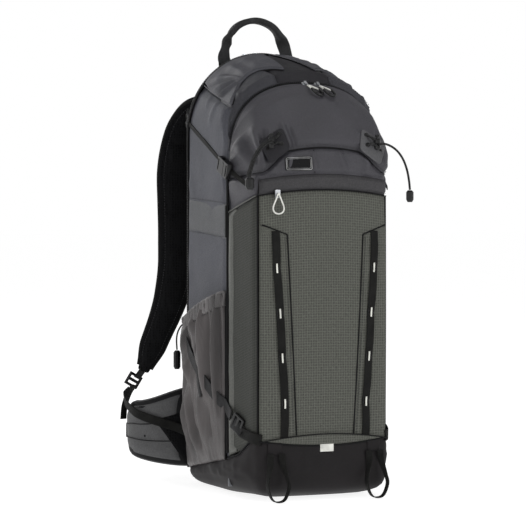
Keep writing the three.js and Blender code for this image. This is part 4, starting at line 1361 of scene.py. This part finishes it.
def stretch_pockets():
    """A stretch pocket on each side with a gathered hem, and the left one's drawcord tunnel."""
    for name, side in SIDES:
        face = pocket_face(side)

        def folds(points, y, h, side=side):
            z = points[..., 2]
            gathers = np.sin(y / 2.6 + 3.2 * noise(y / 34, z / 60, 5) + 0.01 * z)
            long_folds = creases(y, z, [(122, 256, 74, 150, 8, 6.5), (126, 240, 100, 80, 7, 5.5),
                                        (108, 256, 52, 168, 6, -5), (30, 282, 14, 130, 8, 6.0),
                                        (12, 284, 0, 140, 7, -5.0), (70, 268, 34, 180, 8, 5.0),
                                        (-14, 290, -20, 110, 6, 5.0), (-24, 284, -28, 120, 4, -4.0),
                                        (96, 150, 60, 50, 8, 5.5), (80, 130, 44, 52, 6, -4.5),
                                        (110, 120, 88, 44, 6, 4.5), (40, 150, 20, 62, 8, 4.0),
                                        (10, 130, 2, 70, 7, -3.0)])
            return (2.2 * gathers * ramp(h, 66, 98) + 1.5 * long_folds * ramp(h, 100, 88)
                    + 2.6 * crumple(y * 2.0, z * 0.45, 44, 81))

        piece = cloth_panel(f"stretch_pocket_cloth_{name}", face, (POCKET_FRONT, POCKET_REAR), 0.0,
                            100.0, (84, 90), STRETCH, puff=1.0, roll=8,
                            rise=0.8, sink=0.6, extra=folds, thick=1.4)
        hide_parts(f"stretch_pocket_{name}")
        ys = np.linspace(POCKET_FRONT + 1, POCKET_REAR - 1, 60)
        rim, _ = lifted(face, ys, 100.0, 1.6)
        rim[:, 0] += side * 0.9 * np.sin(ys / 2.6)
        tube(f"pocket_binding_{name}", rim, 3.0, HEM, "stretch_fabric", steps=150, sides=10,
             squash=0.7)
        cloth_panel(f"pocket_hem_{name}", face, (POCKET_FRONT, POCKET_REAR), 91.5, 100.5,
                    (120, 12), HEM, puff=1.0, roll=4, rise=3.2, sink=0.2,
                    thick=1.2, extra=lambda pts, y, h: 2.0 * np.sin(
                        y / 2.1 + 2.6 * noise(y / 30, h / 9, 7)))
        hems, _ = lifted(face, ys, 91.0, 4.6)
        hems[:, 0] += side * 1.2 * np.sin(ys / 2.6)
        stitches(f"pocket_hem_stitches_{name}", hems, THREAD, "stretch_fabric")
        for tag, y in (("front", POCKET_FRONT), ("rear", POCKET_REAR)):
            hs = np.linspace(0, 99, 50)
            welt(f"pocket_seam_{tag}_{name}", face, y, hs, 1.2, 1.5, PIPING, "black_fabric",
                 steps=70, sides=8)
    knot = [(-123, 118, 255), (-126, 126, 256), (-128, 133, 252), (-126, 139, 247)]
    tube("drawcord_tunnel", knot, lambda t: 5.2 - 1.6 * abs(2 * t - 1) + 0.7 * math.sin(22 * t),
         STRETCH, "stretch_fabric", steps=40, sides=14)


# ---------------------------------------------------------------- webbing on the pack


def daisy_chains():
    """Webbing tacked down at intervals over each front wing, with a bright bar at each tack."""
    tack_x = [66, 65.2, 69.8, 73.2, 78.2, 79.5]
    tack_z = [82, 138, 206, 272, 339, 394]
    for name, side in SIDES:
        z = np.linspace(394, 82, 160)
        x = np.interp(z, tack_z, tack_x)
        spacing = np.interp(z, tack_z, range(len(tack_z)))
        lift = 3.2 + 2.6 * np.abs(np.sin(math.pi * spacing)) ** 0.7
        centre, out = lifted(front, side * x, z, lift)
        strip(f"daisy_chain_{name}", centre, out, 12.5, 1.6, BLACK_WEB)
        for i, middle in enumerate(tack_z[-2:0:-1], 1):
            zs = np.linspace(middle + 7, middle - 7, 8)
            xs = np.interp(zs, tack_z, tack_x)
            line, face = lifted(front, side * xs, zs, 5.8)
            strip(f"tack_bar_{i}_{name}", line, face, 2.4, 1.2, REFLECT)
            for shift in (-4.2, 4.2):
                line, _ = lifted(front, side * (xs + shift), zs, 4.6)
                stitches(f"tack_stitches_{i}_{'in' if shift < 0 else 'out'}_{name}", line,
                         THREAD, "black_webbing", pitch=1.7, length=1.2)


UPPER_LINE = [(121.6, 126, 562), (121.6, 46, 528), (121.6, -34, 494), (121, -58, 484),
              (116.4, -85, 472), (110.4, -112, 459)]


def compression_straps():
    """The upper and lower side straps, each lower one with its ladderlock, tail and anchor."""
    for name, side in SIDES:
        line = [(side * (x + 1.6), y, z) for x, y, z in UPPER_LINE]
        piece = strap(f"upper_webbing_{name}", line, (0, 0.4, 0.9), 7, 1.5, BLACK_WEB,
                      steps=90)
        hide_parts(f"upper_strap_{name}")
        face = pocket_face(side)
        y = np.linspace(130, -64, 60)
        z = np.linspace(236, 116, 60)
        h = 100 * (z - boot_edge(y) + 3) / (mouth(y) - boot_edge(y) + 3)
        centre, out = lifted(face, np.maximum(y, POCKET_FRONT), h, 4.2)
        centre[:, 1] = y
        centre[:, 0] = side * np.maximum(np.abs(centre[:, 0]), HALF + 3)
        centre[:, 2] = z
        out[y < POCKET_FRONT] = [side, 0, 0]
        piece = strip(f"lower_webbing_{name}_side", centre, out, 18, 1.7, GREY_WEB)
        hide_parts(f"lower_strap_{name}")
        tail = mirrored(side, [(122, -66, 112), (122.5, -72, 108), (120, -84, 100), (117, -93,
                                                                                     94)])
        strap(f"ladderlock_tail_{name}", tail, (0, 0.5, 0.86), 17, 1.5, GREY_WEB)
        plate = [rounded(25, 28, 3.2), rounded(5.4, 20, 1.6, x=-5.4), rounded(5.4, 20, 1.6, x=5.4)]
        lock = moulding(f"ladderlock_frame_{name}", plate, 4.6, 1.2,
                        (side * 119.6, -80.6, 104.9), (-0.3 * side, -0.8, -0.52),
                        (0.94 * side, -0.32, -0.06), PLASTIC,
                        body=f"ladderlock_{name}")
        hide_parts(f"lower_ladderlock_{name}")
        loose = mirrored(side, [(140.5, 36, 176), (142.5, 30, 164), (142, 27, 150), (140.6, 25,
                                                                                     138)])
        strap(f"webbing_keeper_{name}", loose, (0, 1, 0.2), 9, 1.4, GREY_WEB,
              steps=30)
        anchor, out = lifted(bulk, side * np.linspace(FRONT_RUN - 34, CORNER - 7, 24),
                             np.linspace(96, 84, 24), 6.2 - 2.4 * np.linspace(-1, 1, 24) ** 2)
        strip(f"ladderlock_anchor_{name}", anchor, out, 17, 2.2, BLACK_WEB)


LOOP_TOP = 64.0


def tool_loops():
    for name, side in SIDES:
        middle = side * 80
        low = 2.4 - STAND
        half = [(9, -137.2, LOOP_TOP), (10, -140, 48), (15, -144, 28), (17, -147, 14),
                (10, -148, low + 4)]
        path = there_and_back(half, (-148, low), middle)

        def twist(t):
            flat = abs(2 * t - 1) ** 3
            return (flat, -(1 - flat), 0)

        piece = strap(f"axe_loop_{name}", path, twist, 10, 1.8, BLACK_WEB,
                      body=f"loop_{name}", steps=110)
        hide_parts(f"tool_loop_{name}")
        tape_on(f"loop_patch_{name}", front, [middle, middle], [80, 62], 22, 1.6, BASE,
                lift=2.6, steps=8)


# ---------------------------------------------------------------- label and tool keepers


def rounded_quad(corners, round_share=0.18, steps=6):
    """A four-cornered outline with rounded corners, as (x, z) points."""
    points = []
    corners = [np.array(c, float) for c in corners]
    for i, corner in enumerate(corners):
        before = lerp(corner, corners[i - 1], round_share)
        after = lerp(corner, corners[(i + 1) % 4], round_share)
        for t in np.linspace(0, 1, steps):
            points.append((1 - t) ** 2 * before + 2 * t * (1 - t) * corner + t**2 * after)
    return np.array(points)


def patch_on(name, surface, outline, thick, finish, lift=0.6):
    """A raised patch with a rounded edge that follows a surface inside an outline."""
    centre = outline.mean(0)
    rows = []
    for share, height in ((1.0, 0.0), (1.0, 0.6), (0.97, 0.95), (0.92, 1.0), (0.6, 1.0),
                          (0.3, 1.0), (0.02, 1.0)):
        flat = centre + (outline - centre) * share
        points, _ = lifted(surface, flat[:, 0], flat[:, 1], lift + thick * height)
        rows.append(points)
    return grid(name, np.stack(rows), finish, wrap=True)


def label():
    """A blank woven label with a pale border."""
    def quad(inset):
        left, right, low, high = -64 + inset, -21.5 - inset, 483.5 + inset, 503.5 - inset
        return rounded_quad([(left, low), (right, low), (right, high), (left, high)], 0.1)

    patch_on("label_border", front, quad(0), 2.4, PIPING, lift=3.0)
    for tag, inset, size in (("outer", 1.3, 0.6), ("inner", 3.2, 0.35)):
        ring = quad(inset)
        points, _ = lifted(front, ring[:, 0], ring[:, 1], 5.7)
        tube(f"label_edging_{tag}", np.vstack([points, points[:1]]), size, BORDER, "black_fabric",
             steps=90, sides=6)
    zs = np.linspace(513, 481, 20)
    welt("label_side_seam", front, -17 + 0 * zs, zs, 2.0, 0.8, PIPING, "black_fabric", steps=30,
         sides=6)


def tool_keepers():
    """Anchor patch, laced cord and the seat of each cord lock."""
    for name, side in SIDES:
        corners = [(63, 550), (55, 515), (89, 493), (101, 534)]
        if side < 0:
            corners = [(-x, z) for x, z in reversed(corners)]
        # The left patch takes the black yoke cloth as painted shade, for the shadow it lies in under
        # the dome; the right one keeps the patch's own colour.
        finish = PATCH if side > 0 else YOKE
        patch_on(f"anchor_patch_{name}", front, rounded_quad(corners), 1.3, finish,
                 lift=7.4)
        for i, (x, z) in enumerate(((69, 539), (69, 523))):
            away, out = lifted(front, side * x, z, 7.6)
            lock = np.array([side * 83.5, -136.5, 526.0])
            bow = lerp(away, lock, 0.5) + out * 3.5
            start = away - out * 2
            route = [start, away + out * 2.4, bow, lock + [0, 1.5, 4 - 8 * i]]
            tube(f"lacing_{i}_{name}", route, 1.7, CORD, "shock_cord", steps=40)
            ring = [away + out * 1.4 + 3.0 * (np.array([math.cos(a), 0, math.sin(a)]))
                    for a in np.linspace(0, 2 * math.pi, 17)]
            tube(f"eyelet_{i}_{name}", ring, 0.9, LOCK_PLASTIC, "lock_plastic", steps=40, sides=8)
        seat = mirrored(side, [(88.5, -127, 506), (88.2, -130.5, 511), (88, -131.5, 516), (88,
                                                                                           -127,
                                                                                           521)])
        strap(f"lock_tab_{name}", seat, (1, 0, 0), 11, 1.6, BLACK_WEB, steps=24)


base_boot()
front_lip()
stretch_pockets()
daisy_chains()
compression_straps()
tool_loops()
label()
tool_keepers()

# ---------------------------------------------------------------- hinged back panel


def arch_outline(half, rise, low):
    """Outline of the back of the pack as (x, z) points: straight sides and an arch on top."""
    turn = np.linspace(0, math.pi, 60)
    arch = np.stack([half * np.cos(turn), ARCH_Z + rise * np.sin(turn)], -1)
    sides = np.linspace(ARCH_Z - 12, low + 14, 24)
    corner = np.linspace(0, math.pi / 2, 6)
    left = np.stack([-half + 0 * sides, sides], -1)
    bend = np.stack([-half + 12 * (1 - np.cos(corner)), low + 12 * (1 - np.sin(corner))], -1)
    floor = np.stack([np.linspace(-half + 22, half - 22, 16), 0 * np.ones(16) + low], -1)
    right = np.stack([-bend[::-1, 0], bend[::-1, 1]], -1)
    rise_side = np.stack([half + 0 * sides, sides[::-1]], -1)
    return np.vstack([arch, left, bend, floor, right, rise_side])


def domed(name, outline, rows, finish, body, middle):
    """A sheet over an outline. A row is (inset, y): the inset in mm, or, from 100 on, 100 and
    how many percent of the way to the middle it lies."""
    away = outline - middle
    inward = unit(away)
    rings = []
    for inset, y in rows:
        flat = outline - inward * inset if inset < 100 else middle + away * (200 - inset) / 100
        rings.append(np.stack([flat[:, 0], y + 0 * flat[:, 0], flat[:, 1]], -1))
    return grid(name, np.stack(rings), finish, body, wrap=True)


def back_door():
    """Cloth over the stiffened back panel, its bound edge and the lining inside."""
    middle = np.array((0, 330))
    outline = arch_outline(117, 118, 14)
    rows = [(1.5, 144.2), (0.2, 145), (0, 147.2), (1.2, 149.6), (4, 151.0), (12, 151.1),
            (110, 151.1), (140, 151.1), (170, 151.1), (199.5, 151.1)]
    cover = domed("back_cover", outline, rows, BELT, "back_door", middle)
    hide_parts("back_panel")
    inside = [(1.5, 144.2), (6, 143.4), (14, 143.2), (110, 143.2), (140, 143.2), (170, 143.2),
              (199.5, 143.2)]
    domed("back_lining", outline, inside, LINING, "back_door", middle)
    edge = np.stack([outline[:, 0], 0 * outline[:, 0] + 146.6, outline[:, 1]], -1)
    tube("back_binding", np.vstack([edge, edge[:1]]), 2.3, BLACK_WEB, "black_webbing",
         body="back_door", steps=420, sides=8)
    hinge = [(-112, 141.5, 8), (-60, 142.6, 8), (0, 143, 8), (60, 142.6, 8), (112, 141.5, 8)]
    strap("hinge_gusset", hinge, (0, 0.4, 0.9), 15, 1.8, BASE, body="pack")
    spine = [(0, 154.4, 34), (0, 155.6, 60), (0, 155.8, 330), (0, 155.6, 600), (0, 152.6, 640)]
    strap("stay_sleeve", spine, (1, 0, 0), 30, 1.6, MESH_EDGE, body="back_door",
          steps=80, crown=1.2)
    for name, side in SIDES:
        line = mirrored(side, [(17, 153.6, 40), (17, 154.4, 330), (17, 153.2, 634)])
        stitches(f"sleeve_seam_{name}", line, THREAD, "air_mesh", body="back_door")


VOXEL, PRESSURE, SWELL_CAP, LAST_FRAME = 5.0, 4.0, 4.0, 20


def inflate(piece):
    """Swells a closed pad by a short cloth simulation, each point kept near where it began."""
    remesh = piece.modifiers.new("remesh", "REMESH")
    remesh.mode, remesh.voxel_size = "VOXEL", VOXEL * MM
    graph = bpy.context.evaluated_depsgraph_get()
    mesh = bpy.data.meshes.new_from_object(piece.evaluated_get(graph))
    piece.modifiers.clear()
    piece.data = mesh
    start = np.array([v.co for v in mesh.vertices])
    cloth = piece.modifiers.new("cloth", "CLOTH")
    cloth.settings.use_pressure = True
    cloth.settings.uniform_pressure_force = PRESSURE
    cloth.settings.effector_weights.gravity = 0
    cloth.settings.quality = 5
    scene = bpy.context.scene
    for number in range(1, LAST_FRAME + 1):
        scene.frame_set(number)
    graph = bpy.context.evaluated_depsgraph_get()
    shaped = piece.evaluated_get(graph).to_mesh()
    moved = np.array([v.co for v in shaped.vertices]) - start
    piece.evaluated_get(graph).to_mesh_clear()
    piece.modifiers.clear()
    scene.frame_set(1)
    far = np.linalg.norm(moved, axis=1, keepdims=True)
    moved *= np.minimum(1, SWELL_CAP * MM / np.maximum(far, 1e-9))
    for vertex, place in zip(mesh.vertices, start + moved):
        vertex.co = place
    for polygon in mesh.polygons:
        polygon.use_smooth = True
    smooth_again = piece.modifiers.new("smooth", "SUBSURF")
    smooth_again.levels = smooth_again.render_levels = 1


def pad_rings(outline, low_y, high_y):
    """Rings of a closed pad: a flat back, a rounded edge and a crowned face."""
    round_edge = 5.0
    middle = outline.mean(0)
    inward = unit(outline - middle)
    rows = []
    for inset, depth in ((round_edge * 3, 0), (1.5, 0.02), (0, 0.2), (0.2, 0.55), (2.2, 0.85),
                         (round_edge * 1.6, 0.98), (round_edge * 3, 1.0)):
        flat = outline - inward * inset
        rows.append(np.stack([flat[:, 0], lerp(low_y, high_y, depth) + 0 * flat[:, 0],
                              flat[:, 1]], -1))
    for share in (0.6, 0.3, 0.03):
        flat = middle + (outline - inward * round_edge * 3 - middle) * share
        rows.append(np.stack([flat[:, 0], high_y + 0 * flat[:, 0], flat[:, 1]], -1))
    back = middle + (outline - inward * round_edge * 3 - middle) * 0.03
    closing = np.stack([back[:, 0], low_y + 0 * back[:, 0], back[:, 1]], -1)
    return np.stack([closing] + rows)


def resample_outline(corners):
    line = Line([(x, 0, z) for x, z in corners + corners[:1]], steps=8)
    points = line(np.linspace(0, 1, 96, endpoint=False))
    return points[:, [0, 2]]


def back_pads():
    pad = [(-20, 178), (-56, 178), (-90, 178), (-101, 190), (-102, 260), (-102, 400), (-102, 530),
           (-94, 572), (-72, 598), (-50, 610), (-30, 611), (-20, 604), (-20, 500), (-20, 360),
           (-20, 240)]
    for name, side in SIDES:
        outline = resample_outline([(-side * x, z) for x, z in pad])
        piece = grid(f"back_pad_cushion_{name}", pad_rings(outline, 151.8, 163.5), MESH,
                     "back_door", wrap=True, caps=True)
        inflate(piece)
        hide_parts(f"back_pad_{name}")
        for i, z in enumerate((290, 400, 505)):
            line = mirrored(side, [(24, 165.6, z - 5), (60, 167.4, z), (98, 164.6, z - 5)])
            tube(f"pad_channel_{i}_{name}", line, 2.2, PIPING, "air_mesh", body="back_door",
                 steps=30, squash=0.6)
    lumbar = [(-92, 24), (-40, 23), (0, 23), (40, 23), (92, 24), (103, 40), (102, 90), (101, 146),
              (86, 163), (40, 164), (0, 160), (-40, 164), (-86, 163), (-101, 146), (-102, 90),
              (-103, 40)]
    piece = grid("lumbar_cushion", pad_rings(resample_outline(lumbar), 154.8, 167.5), MESH_EDGE,
                 "back_door", wrap=True, caps=True)
    inflate(piece)
    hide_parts("lumbar_pad")


# ---------------------------------------------------------------- harness

STRAP = [(52, 180, 592), (63, 194, 598), (81, 211, 588), (95, 226, 563), (102, 235, 530),
         (105, 240, 488), (103, 240, 440), (102, 238, 385), (104, 236, 335), (113, 237, 289),
         (123, 241, 255), (138, 249, 213), (151, 256, 175), (156, 258, 162)]


def strap_width(t):
    t = np.asarray(t)
    return lerp(50, 62, smooth(t * 2.4)) - 22 * smooth((t - 0.55) * 2.6) - 18 * ramp(t, 0.9, 1)


def strap_frames(side, t):
    line = Line(mirrored(side, STRAP))
    centre = line(t)
    lean = 0.1 - 0.45 * smooth(t)
    wanted = np.stack([0 * t - side, lean, 0 * t], -1)
    _, across, out = frames(centre, wanted)
    out *= np.sign(out[:, 1:2])
    return centre, across, out


# Section of a shoulder strap: across and out, as shares of its half width and thickness.
STRAP_SECTION = [
    (-1, 0.0), (-0.99, -0.45), (-0.9, -0.7), (-0.74, -0.76), (-0.70, -0.98), (-0.45, -1.12),
    (-0.41, -1.26), (0, -1.36), (0.41, -1.26), (0.45, -1.12), (0.70, -0.98), (0.74, -0.76),
    (0.9, -0.7), (0.99, -0.45), (1, 0.0), (0.98, 0.5), (0.86, 0.82), (0.4, 0.96), (0, 1.0),
    (-0.4, 0.96), (-0.86, 0.82), (-0.98, 0.5)]
STRAP_HALF_THICK = 6


def shoulder_pad(name, t, centre, across, out):
    """The quilted foam of a shoulder strap."""
    half = strap_width(t)[:, None] / 2
    ends = np.minimum(1, np.minimum(t, 1 - t) * 14 + 0.35)[:, None] ** 0.5
    ridge = 0.9 + 0.42 * np.abs(np.sin(t * 28)) ** 0.5
    quilt = lerp(1, ridge, ramp(t, 0.16, 0.24))[:, None]
    rings = [centre + across * half * a * (0.55 + 0.45 * ends)
             + out * STRAP_HALF_THICK * b * ends * (quilt if b < -1 else 1)
             for a, b in STRAP_SECTION]
    pad = grid(f"shoulder_pad_{name}", np.stack(rings, 1), MESH, "back_door",
               wrap=True, caps=True)
    pad.modifiers.new("smooth", "SUBSURF").levels = 1
    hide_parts(f"shoulder_strap_{name}")


def strap_trim(name, side, t, centre, across, out):
    """Shell, binding, stitches, webbing, sternum rail and top mesh of a shoulder strap."""
    half = strap_width(t)[:, None] / 2
    inner = slice(3, 118)
    strip(f"strap_shell_{name}", (centre + out * 6.6)[inner], out[inner],
          strap_width(t)[inner] - 9, 1.4, BELT, "back_door")
    for tag, sign in SIDES:
        edge = centre + across * half * sign * 0.99
        tube(f"strap_binding_{tag}_{name}", edge[2:-2], 2.5, BLACK_WEB, "black_webbing",
             "back_door", steps=160, sides=10)
        seam = centre + across * half * sign * 0.72 - out * 5.4
        stitches(f"strap_stitches_{tag}_{name}", seam[6:-6], THREAD, "air_mesh", "back_door")
    strip(f"strap_webbing_{name}", (centre + out * 7.6)[20:100], out[20:100], 18, 1.5,
          BLACK_WEB, "back_door")
    rail = (centre + out * 8.4)[44:66]
    tube(f"sternum_rail_{name}", rail - across[44:66] * side * 2, 1.7, LOCK_PLASTIC,
         "lock_plastic", "back_door", steps=40)
    top = slice(4, 30)
    strip(f"strap_yoke_{name}", (centre + out * 7.6)[top], out[top], strap_width(t)[top] - 4,
          2.0, MESH_EDGE, "back_door")


def strap_ends(name, side):
    """The sewn root of a shoulder strap, its load lifter and the lifter's tab."""
    root = mirrored(side, [(48, 153.2, 634), (48, 160, 626), (49, 171, 608), (53, 182, 594)])
    strap(f"strap_root_{name}", root, (1, 0, 0), 46, 5, BELT, "back_door",
          steps=30, crown=1.0)
    lifter = mirrored(side, [(112, 153, 571), (109, 166, 573), (100, 200, 570), (90, 226, 566),
                             (90, 236, 553)])
    strap(f"load_lifter_{name}", lifter, (0.25 * side, 0, 1), 16, 1.7, BLACK_WEB,
          "back_door", steps=50)
    tab = mirrored(side, [(108, 152.4, 558), (112, 153.4, 565), (114, 156, 573),
                          (110, 160, 579)])
    strap(f"lifter_tab_{name}", tab, (0.2 * side, -0.5, 1), 22, 2.4, GREY_WEB,
          "back_door", steps=20)


def foam_straps():
    t = np.linspace(0, 1, 121)
    for name, side in SIDES:
        centre, across, out = strap_frames(side, t)
        shoulder_pad(name, t, centre, across, out)
        strap_trim(name, side, t, centre, across, out)
        strap_ends(name, side)


def lower_harness():
    line = [(177, 262, 132), (190, 250, 123), (193, 228, 112), (187, 199, 100), (165, 177, 90),
            (134, 167.5, 80), (121, 160, 74), (114, 152, 68)]
    for name, side in SIDES:
        path = mirrored(side, line)
        piece = strap(f"adjuster_webbing_{name}", path, (0.1 * side, 0.1, 1), 14, 1.8, BLACK_WEB,
                      "back_door", steps=80)
        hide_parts(f"lower_webbing_{name}")
        tail = mirrored(side, [(168, 266, 140), (176, 271, 126), (182, 274, 106), (184, 275, 84)])
        strap(f"adjuster_tail_{name}", tail, (0.5 * side, -0.4, 0.1), 17, 1.6, BLACK_WEB,
              f"adjuster_{name}", steps=30)
        end = mirrored(side, [(155, 258, 166), (161, 260.5, 157), (165, 262, 151)])
        strap(f"adjuster_anchor_{name}", end, (-0.6, 0.4 * side, 0), 20, 1.8, BLACK_WEB,
              "back_door", steps=16)


WING = [(100, 176, 0), (130, 178, 0), (158, 186, 0), (176, 203, 0), (182, 226, 0),
        (177, 252, 0), (166, 276, 0), (150, 298, 0)]


def wing_frames(side, u):
    line = Line(mirrored(side, WING))
    centre = line(np.clip(u, 0, 1))
    ahead = line(np.clip(u + 0.01, 0, 1)) - line(np.clip(u - 0.01, 0, 1))
    ahead = unit(ahead)
    out = np.stack([ahead[..., 1], -ahead[..., 0], 0 * ahead[..., 0]], -1) * side
    return centre, out


def wing_low(u):
    return lerp(16, 34, smooth(u * 1.3))


def wing_high(u):
    return lerp(lerp(140, 118, smooth(u * 2)), 96, np.maximum(0, u - 0.5) * 2)


WING_RUN = 200      # the scale of the distance along a wing, in mm


def wing_half(u):
    """The middle height and half height of a wing at each place along it."""
    return (wing_low(u) + wing_high(u)) / 2, (wing_high(u) - wing_low(u)) / 2


def hip_pad(name, side, u, ends):
    """The foam of a hip wing, thinner towards its tip."""
    centre, out = wing_frames(side, u)
    middle, half = wing_half(u)
    rings = []
    for angle in np.linspace(0, 2 * math.pi, 36, endpoint=False):
        c, s = math.cos(angle), math.sin(angle)
        high = math.copysign(abs(s) ** 0.4, s)
        deep = math.copysign(abs(c) ** 0.5, c) * 5.4
        bulge = 1 + 0.22 * (1 - high**2) * (c > 0)
        point = centre + out * (deep * bulge * ends)[:, None]
        point[:, 2] = middle + half * high * (0.6 + 0.4 * ends)
        rings.append(point)
    pad = grid(f"hip_pad_{name}", np.stack(rings, 1), BELT, f"belt_{name}",
               wrap=True, caps=True)
    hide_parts(f"hip_wing_{name}")


def wing_face(side):
    """(along, z) on the outer face of a hip wing."""
    def face(along, z):
        along, z = np.broadcast_arrays(np.asarray(along, float), np.asarray(z, float))
        middle_line, outward = wing_frames(side, along / WING_RUN)
        point = middle_line + outward * 4.8
        point[..., 2] = z
        return point
    return face


def shell_low(a):
    return wing_low(a / WING_RUN) + 7


def shell_high(a):
    return wing_high(a / WING_RUN) - 7


def belt_cloth(name, side):
    """Shell, mesh inlay, seams and webbing on the outer face of a hip wing."""
    body_name = f"belt_{name}"
    within = (side * 100, 240, 70)
    face = wing_face(side)
    cloth_panel(f"belt_shell_{name}", face, (22, 184), shell_low, shell_high, (80, 30),
                BELT_SHELL, body=body_name, puff=1.4, roll=12, rise=0.8,
                sink=0.6, inside=within, thick=1.2,
                extra=lambda p, a, z: 0.9 * crumple(a, z, 36, 91))
    cloth_panel(f"belt_inlay_{name}", face, (4, 64),
                lambda a: 14 + 76 * np.clip((a - 10) / 54, 0, 1), lambda a: 106 - 0.24 * a,
                (40, 30), MESH, body=body_name, puff=1.0, roll=6, rise=3.4,
                sink=0.2, inside=within, thick=1.2)
    for tag, level in (("low", 0.3), ("high", 0.62)):
        a = np.linspace(32, 172, 60)
        seam, _ = lifted(face, a, lerp(shell_low(a), shell_high(a), level), 3.6, inside=within)
        tube(f"belt_seam_{tag}_{name}", seam, 0.7, BELT, "belt_fabric", body_name, steps=90,
             sides=8)
    a = np.linspace(158, 192, 30)
    line, outward = lifted(face, a, lerp(shell_low(a), shell_high(a), 0.45), 4.6,
                           inside=within)
    strip(f"belt_webbing_{name}", line, outward, 24, 1.7, BLACK_WEB, body_name)


def hip_wings():
    """The padded hip-belt wings, each with its cloth and the binding along its edges."""
    u = np.linspace(0, 1, 61)
    ends = np.minimum(1, (1 - u) * 9 + 0.3) ** 0.5
    for name, side in SIDES:
        hip_pad(name, side, u, ends)
        belt_cloth(name, side)
        centre, _ = wing_frames(side, u)
        middle, _ = wing_half(u)
        for tag, edge in (("low", wing_low), ("high", wing_high)):
            rim = centre.copy()
            rim[:, 2] = middle + (edge(u) - middle) * (0.6 + 0.4 * ends)
            tube(f"belt_binding_{tag}_{name}", rim, 2.0, BELT_SHELL, "belt_fabric",
                 f"belt_{name}", steps=90, sides=10)


def handle():
    foot, top = PANEL_Y + 7.6, PANEL_Y + 10
    half = [(-52, foot, 660.6), (-54, foot, 672), (-46, top, 699), (-29, top, 721)]
    path = there_and_back(half, (top, 730))

    def twist(t):
        flat = float(ramp(abs(2 * t - 1), 0.4, 0.78))
        return (flat * (1 if t < 0.5 else -1), 1 - flat, 0)

    wide = lambda t: 21 - 5 * float(ramp(abs(2 * t - 1), 0.7, 0.4)) - 7 * math.exp(
        -((t - 0.13) / 0.05) ** 2)
    deep = lambda t: 3.2 + 6.4 * float(ramp(abs(2 * t - 1), 0.86, 0.5))
    piece = strap("handle_webbing", path, twist, wide, deep, GREY_WEB, "handle",
                  steps=120)
    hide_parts("grab_handle")
    for name, side in SIDES:
        root = mirrored(side, [(52, foot - 0.4, 661), (51, foot - 0.6, 645), (50, foot - 0.8,
                                                                              632)])
        strap(f"handle_root_{name}", root, (1, 0, 0), 23, 2.2, BLACK_WEB,
              "back_door", steps=16)


def zip_pulls():
    """Pale cord through each slider, closed by a black moulded loop, and the front pull."""
    ahead, across = np.array([0.36, -0.67, -0.65]), np.array([0.92, 0.39, 0.0])
    out = np.array([0.25, -0.6, 0.757])
    for name, eye in (("left", (-2.6, -70.5, 613.2)), ("right", (17.4, -70.5, 612.2))):
        eye = np.array(eye)
        ends = [eye + ahead * 18 + across * s * 8.0 + out * 7.4 for s in (-1, 1)]
        cord = [ends[0], eye + ahead * 3 - across * 1.6 + out * 3, eye + out * 1.2,
                eye + ahead * 3 + across * 1.6 + out * 3, ends[1]]
        piece = tube(f"top_pull_cord_{name}", cord, 1.3, PALE, "pull_rubber", f"top_tag_{name}",
                     steps=50)
        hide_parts(f"top_pull_{name}")
        loop = [ends[0] - ahead * 3, ends[0] + ahead * 4, ends[0] + ahead * 9 + across * 1.6,
                eye + ahead * 31 + out * 7.2, ends[1] + ahead * 9 - across * 1.6,
                ends[1] + ahead * 4, ends[1] - ahead * 3]
        tube(f"top_pull_grip_{name}", loop, 2.0, LOCK_PLASTIC, "pull_rubber", f"top_tag_{name}",
             steps=70)
    half = [(0, 450), (1.2, 448), (4.4, 440), (7.4, 433), (8.6, 428), (7.6, 423.5), (4.4, 420.6)]
    pull_y = -139.9
    ring = there_and_back([(x, pull_y, z) for x, z in half], (pull_y, 419.6), middle=-77)
    piece = tube("front_pull_cord", ring, 1.15, PALE, "pull_rubber", "front_tag", steps=110)
    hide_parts("front_pull")


zip_pulls()
back_door()
back_pads()
foam_straps()
lower_harness()
hip_wings()
handle()

# ---------------------------------------------------------------- finishes of the frame's own nodes


def dress(prefix, finish, edge=0.35):
    """Gives frame nodes their finish and softens their edges, leaving their meshes alone."""
    for name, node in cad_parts.items():
        if name.startswith(prefix) and not node.hide_render:
            node.data.materials.clear()
            node.data.materials.append(finish)
            if edge:
                weld = node.modifiers.new("weld", "WELD")
                weld.merge_threshold = 0.02 * MM
                bevel = node.modifiers.new("bevel", "BEVEL")
                bevel.width, bevel.segments = edge * MM, 2
                bevel.limit_method, bevel.angle_limit = "ANGLE", math.radians(34)


for prefix in ("upper_socket", "upper_plug", "lower_ladderlock", "strap_adjuster", "belt_socket",
               "belt_plug", "sternum"):
    dress(prefix, PLASTIC, 0.7)
for prefix in ("cord_lock", "lock_plunger", "tool_tab", "pocket_tab"):
    dress(prefix, LOCK_PLASTIC, 0.5)
for prefix in ("top_slider", "rear_slider", "front_slider"):
    dress(prefix, SLIDER_METAL, 0.4)
for prefix in ("top_pull", "front_pull"):
    dress(prefix, PALE, 0.6)
dress("frame_sheet", SHEET_PLASTIC, 0.6)
dress("frame_stay", STAY_METAL, 0.6)
dress("compartment_divider", LINING, 0.4)

# ---------------------------------------------------------------- end

bpy.context.view_layer.update()
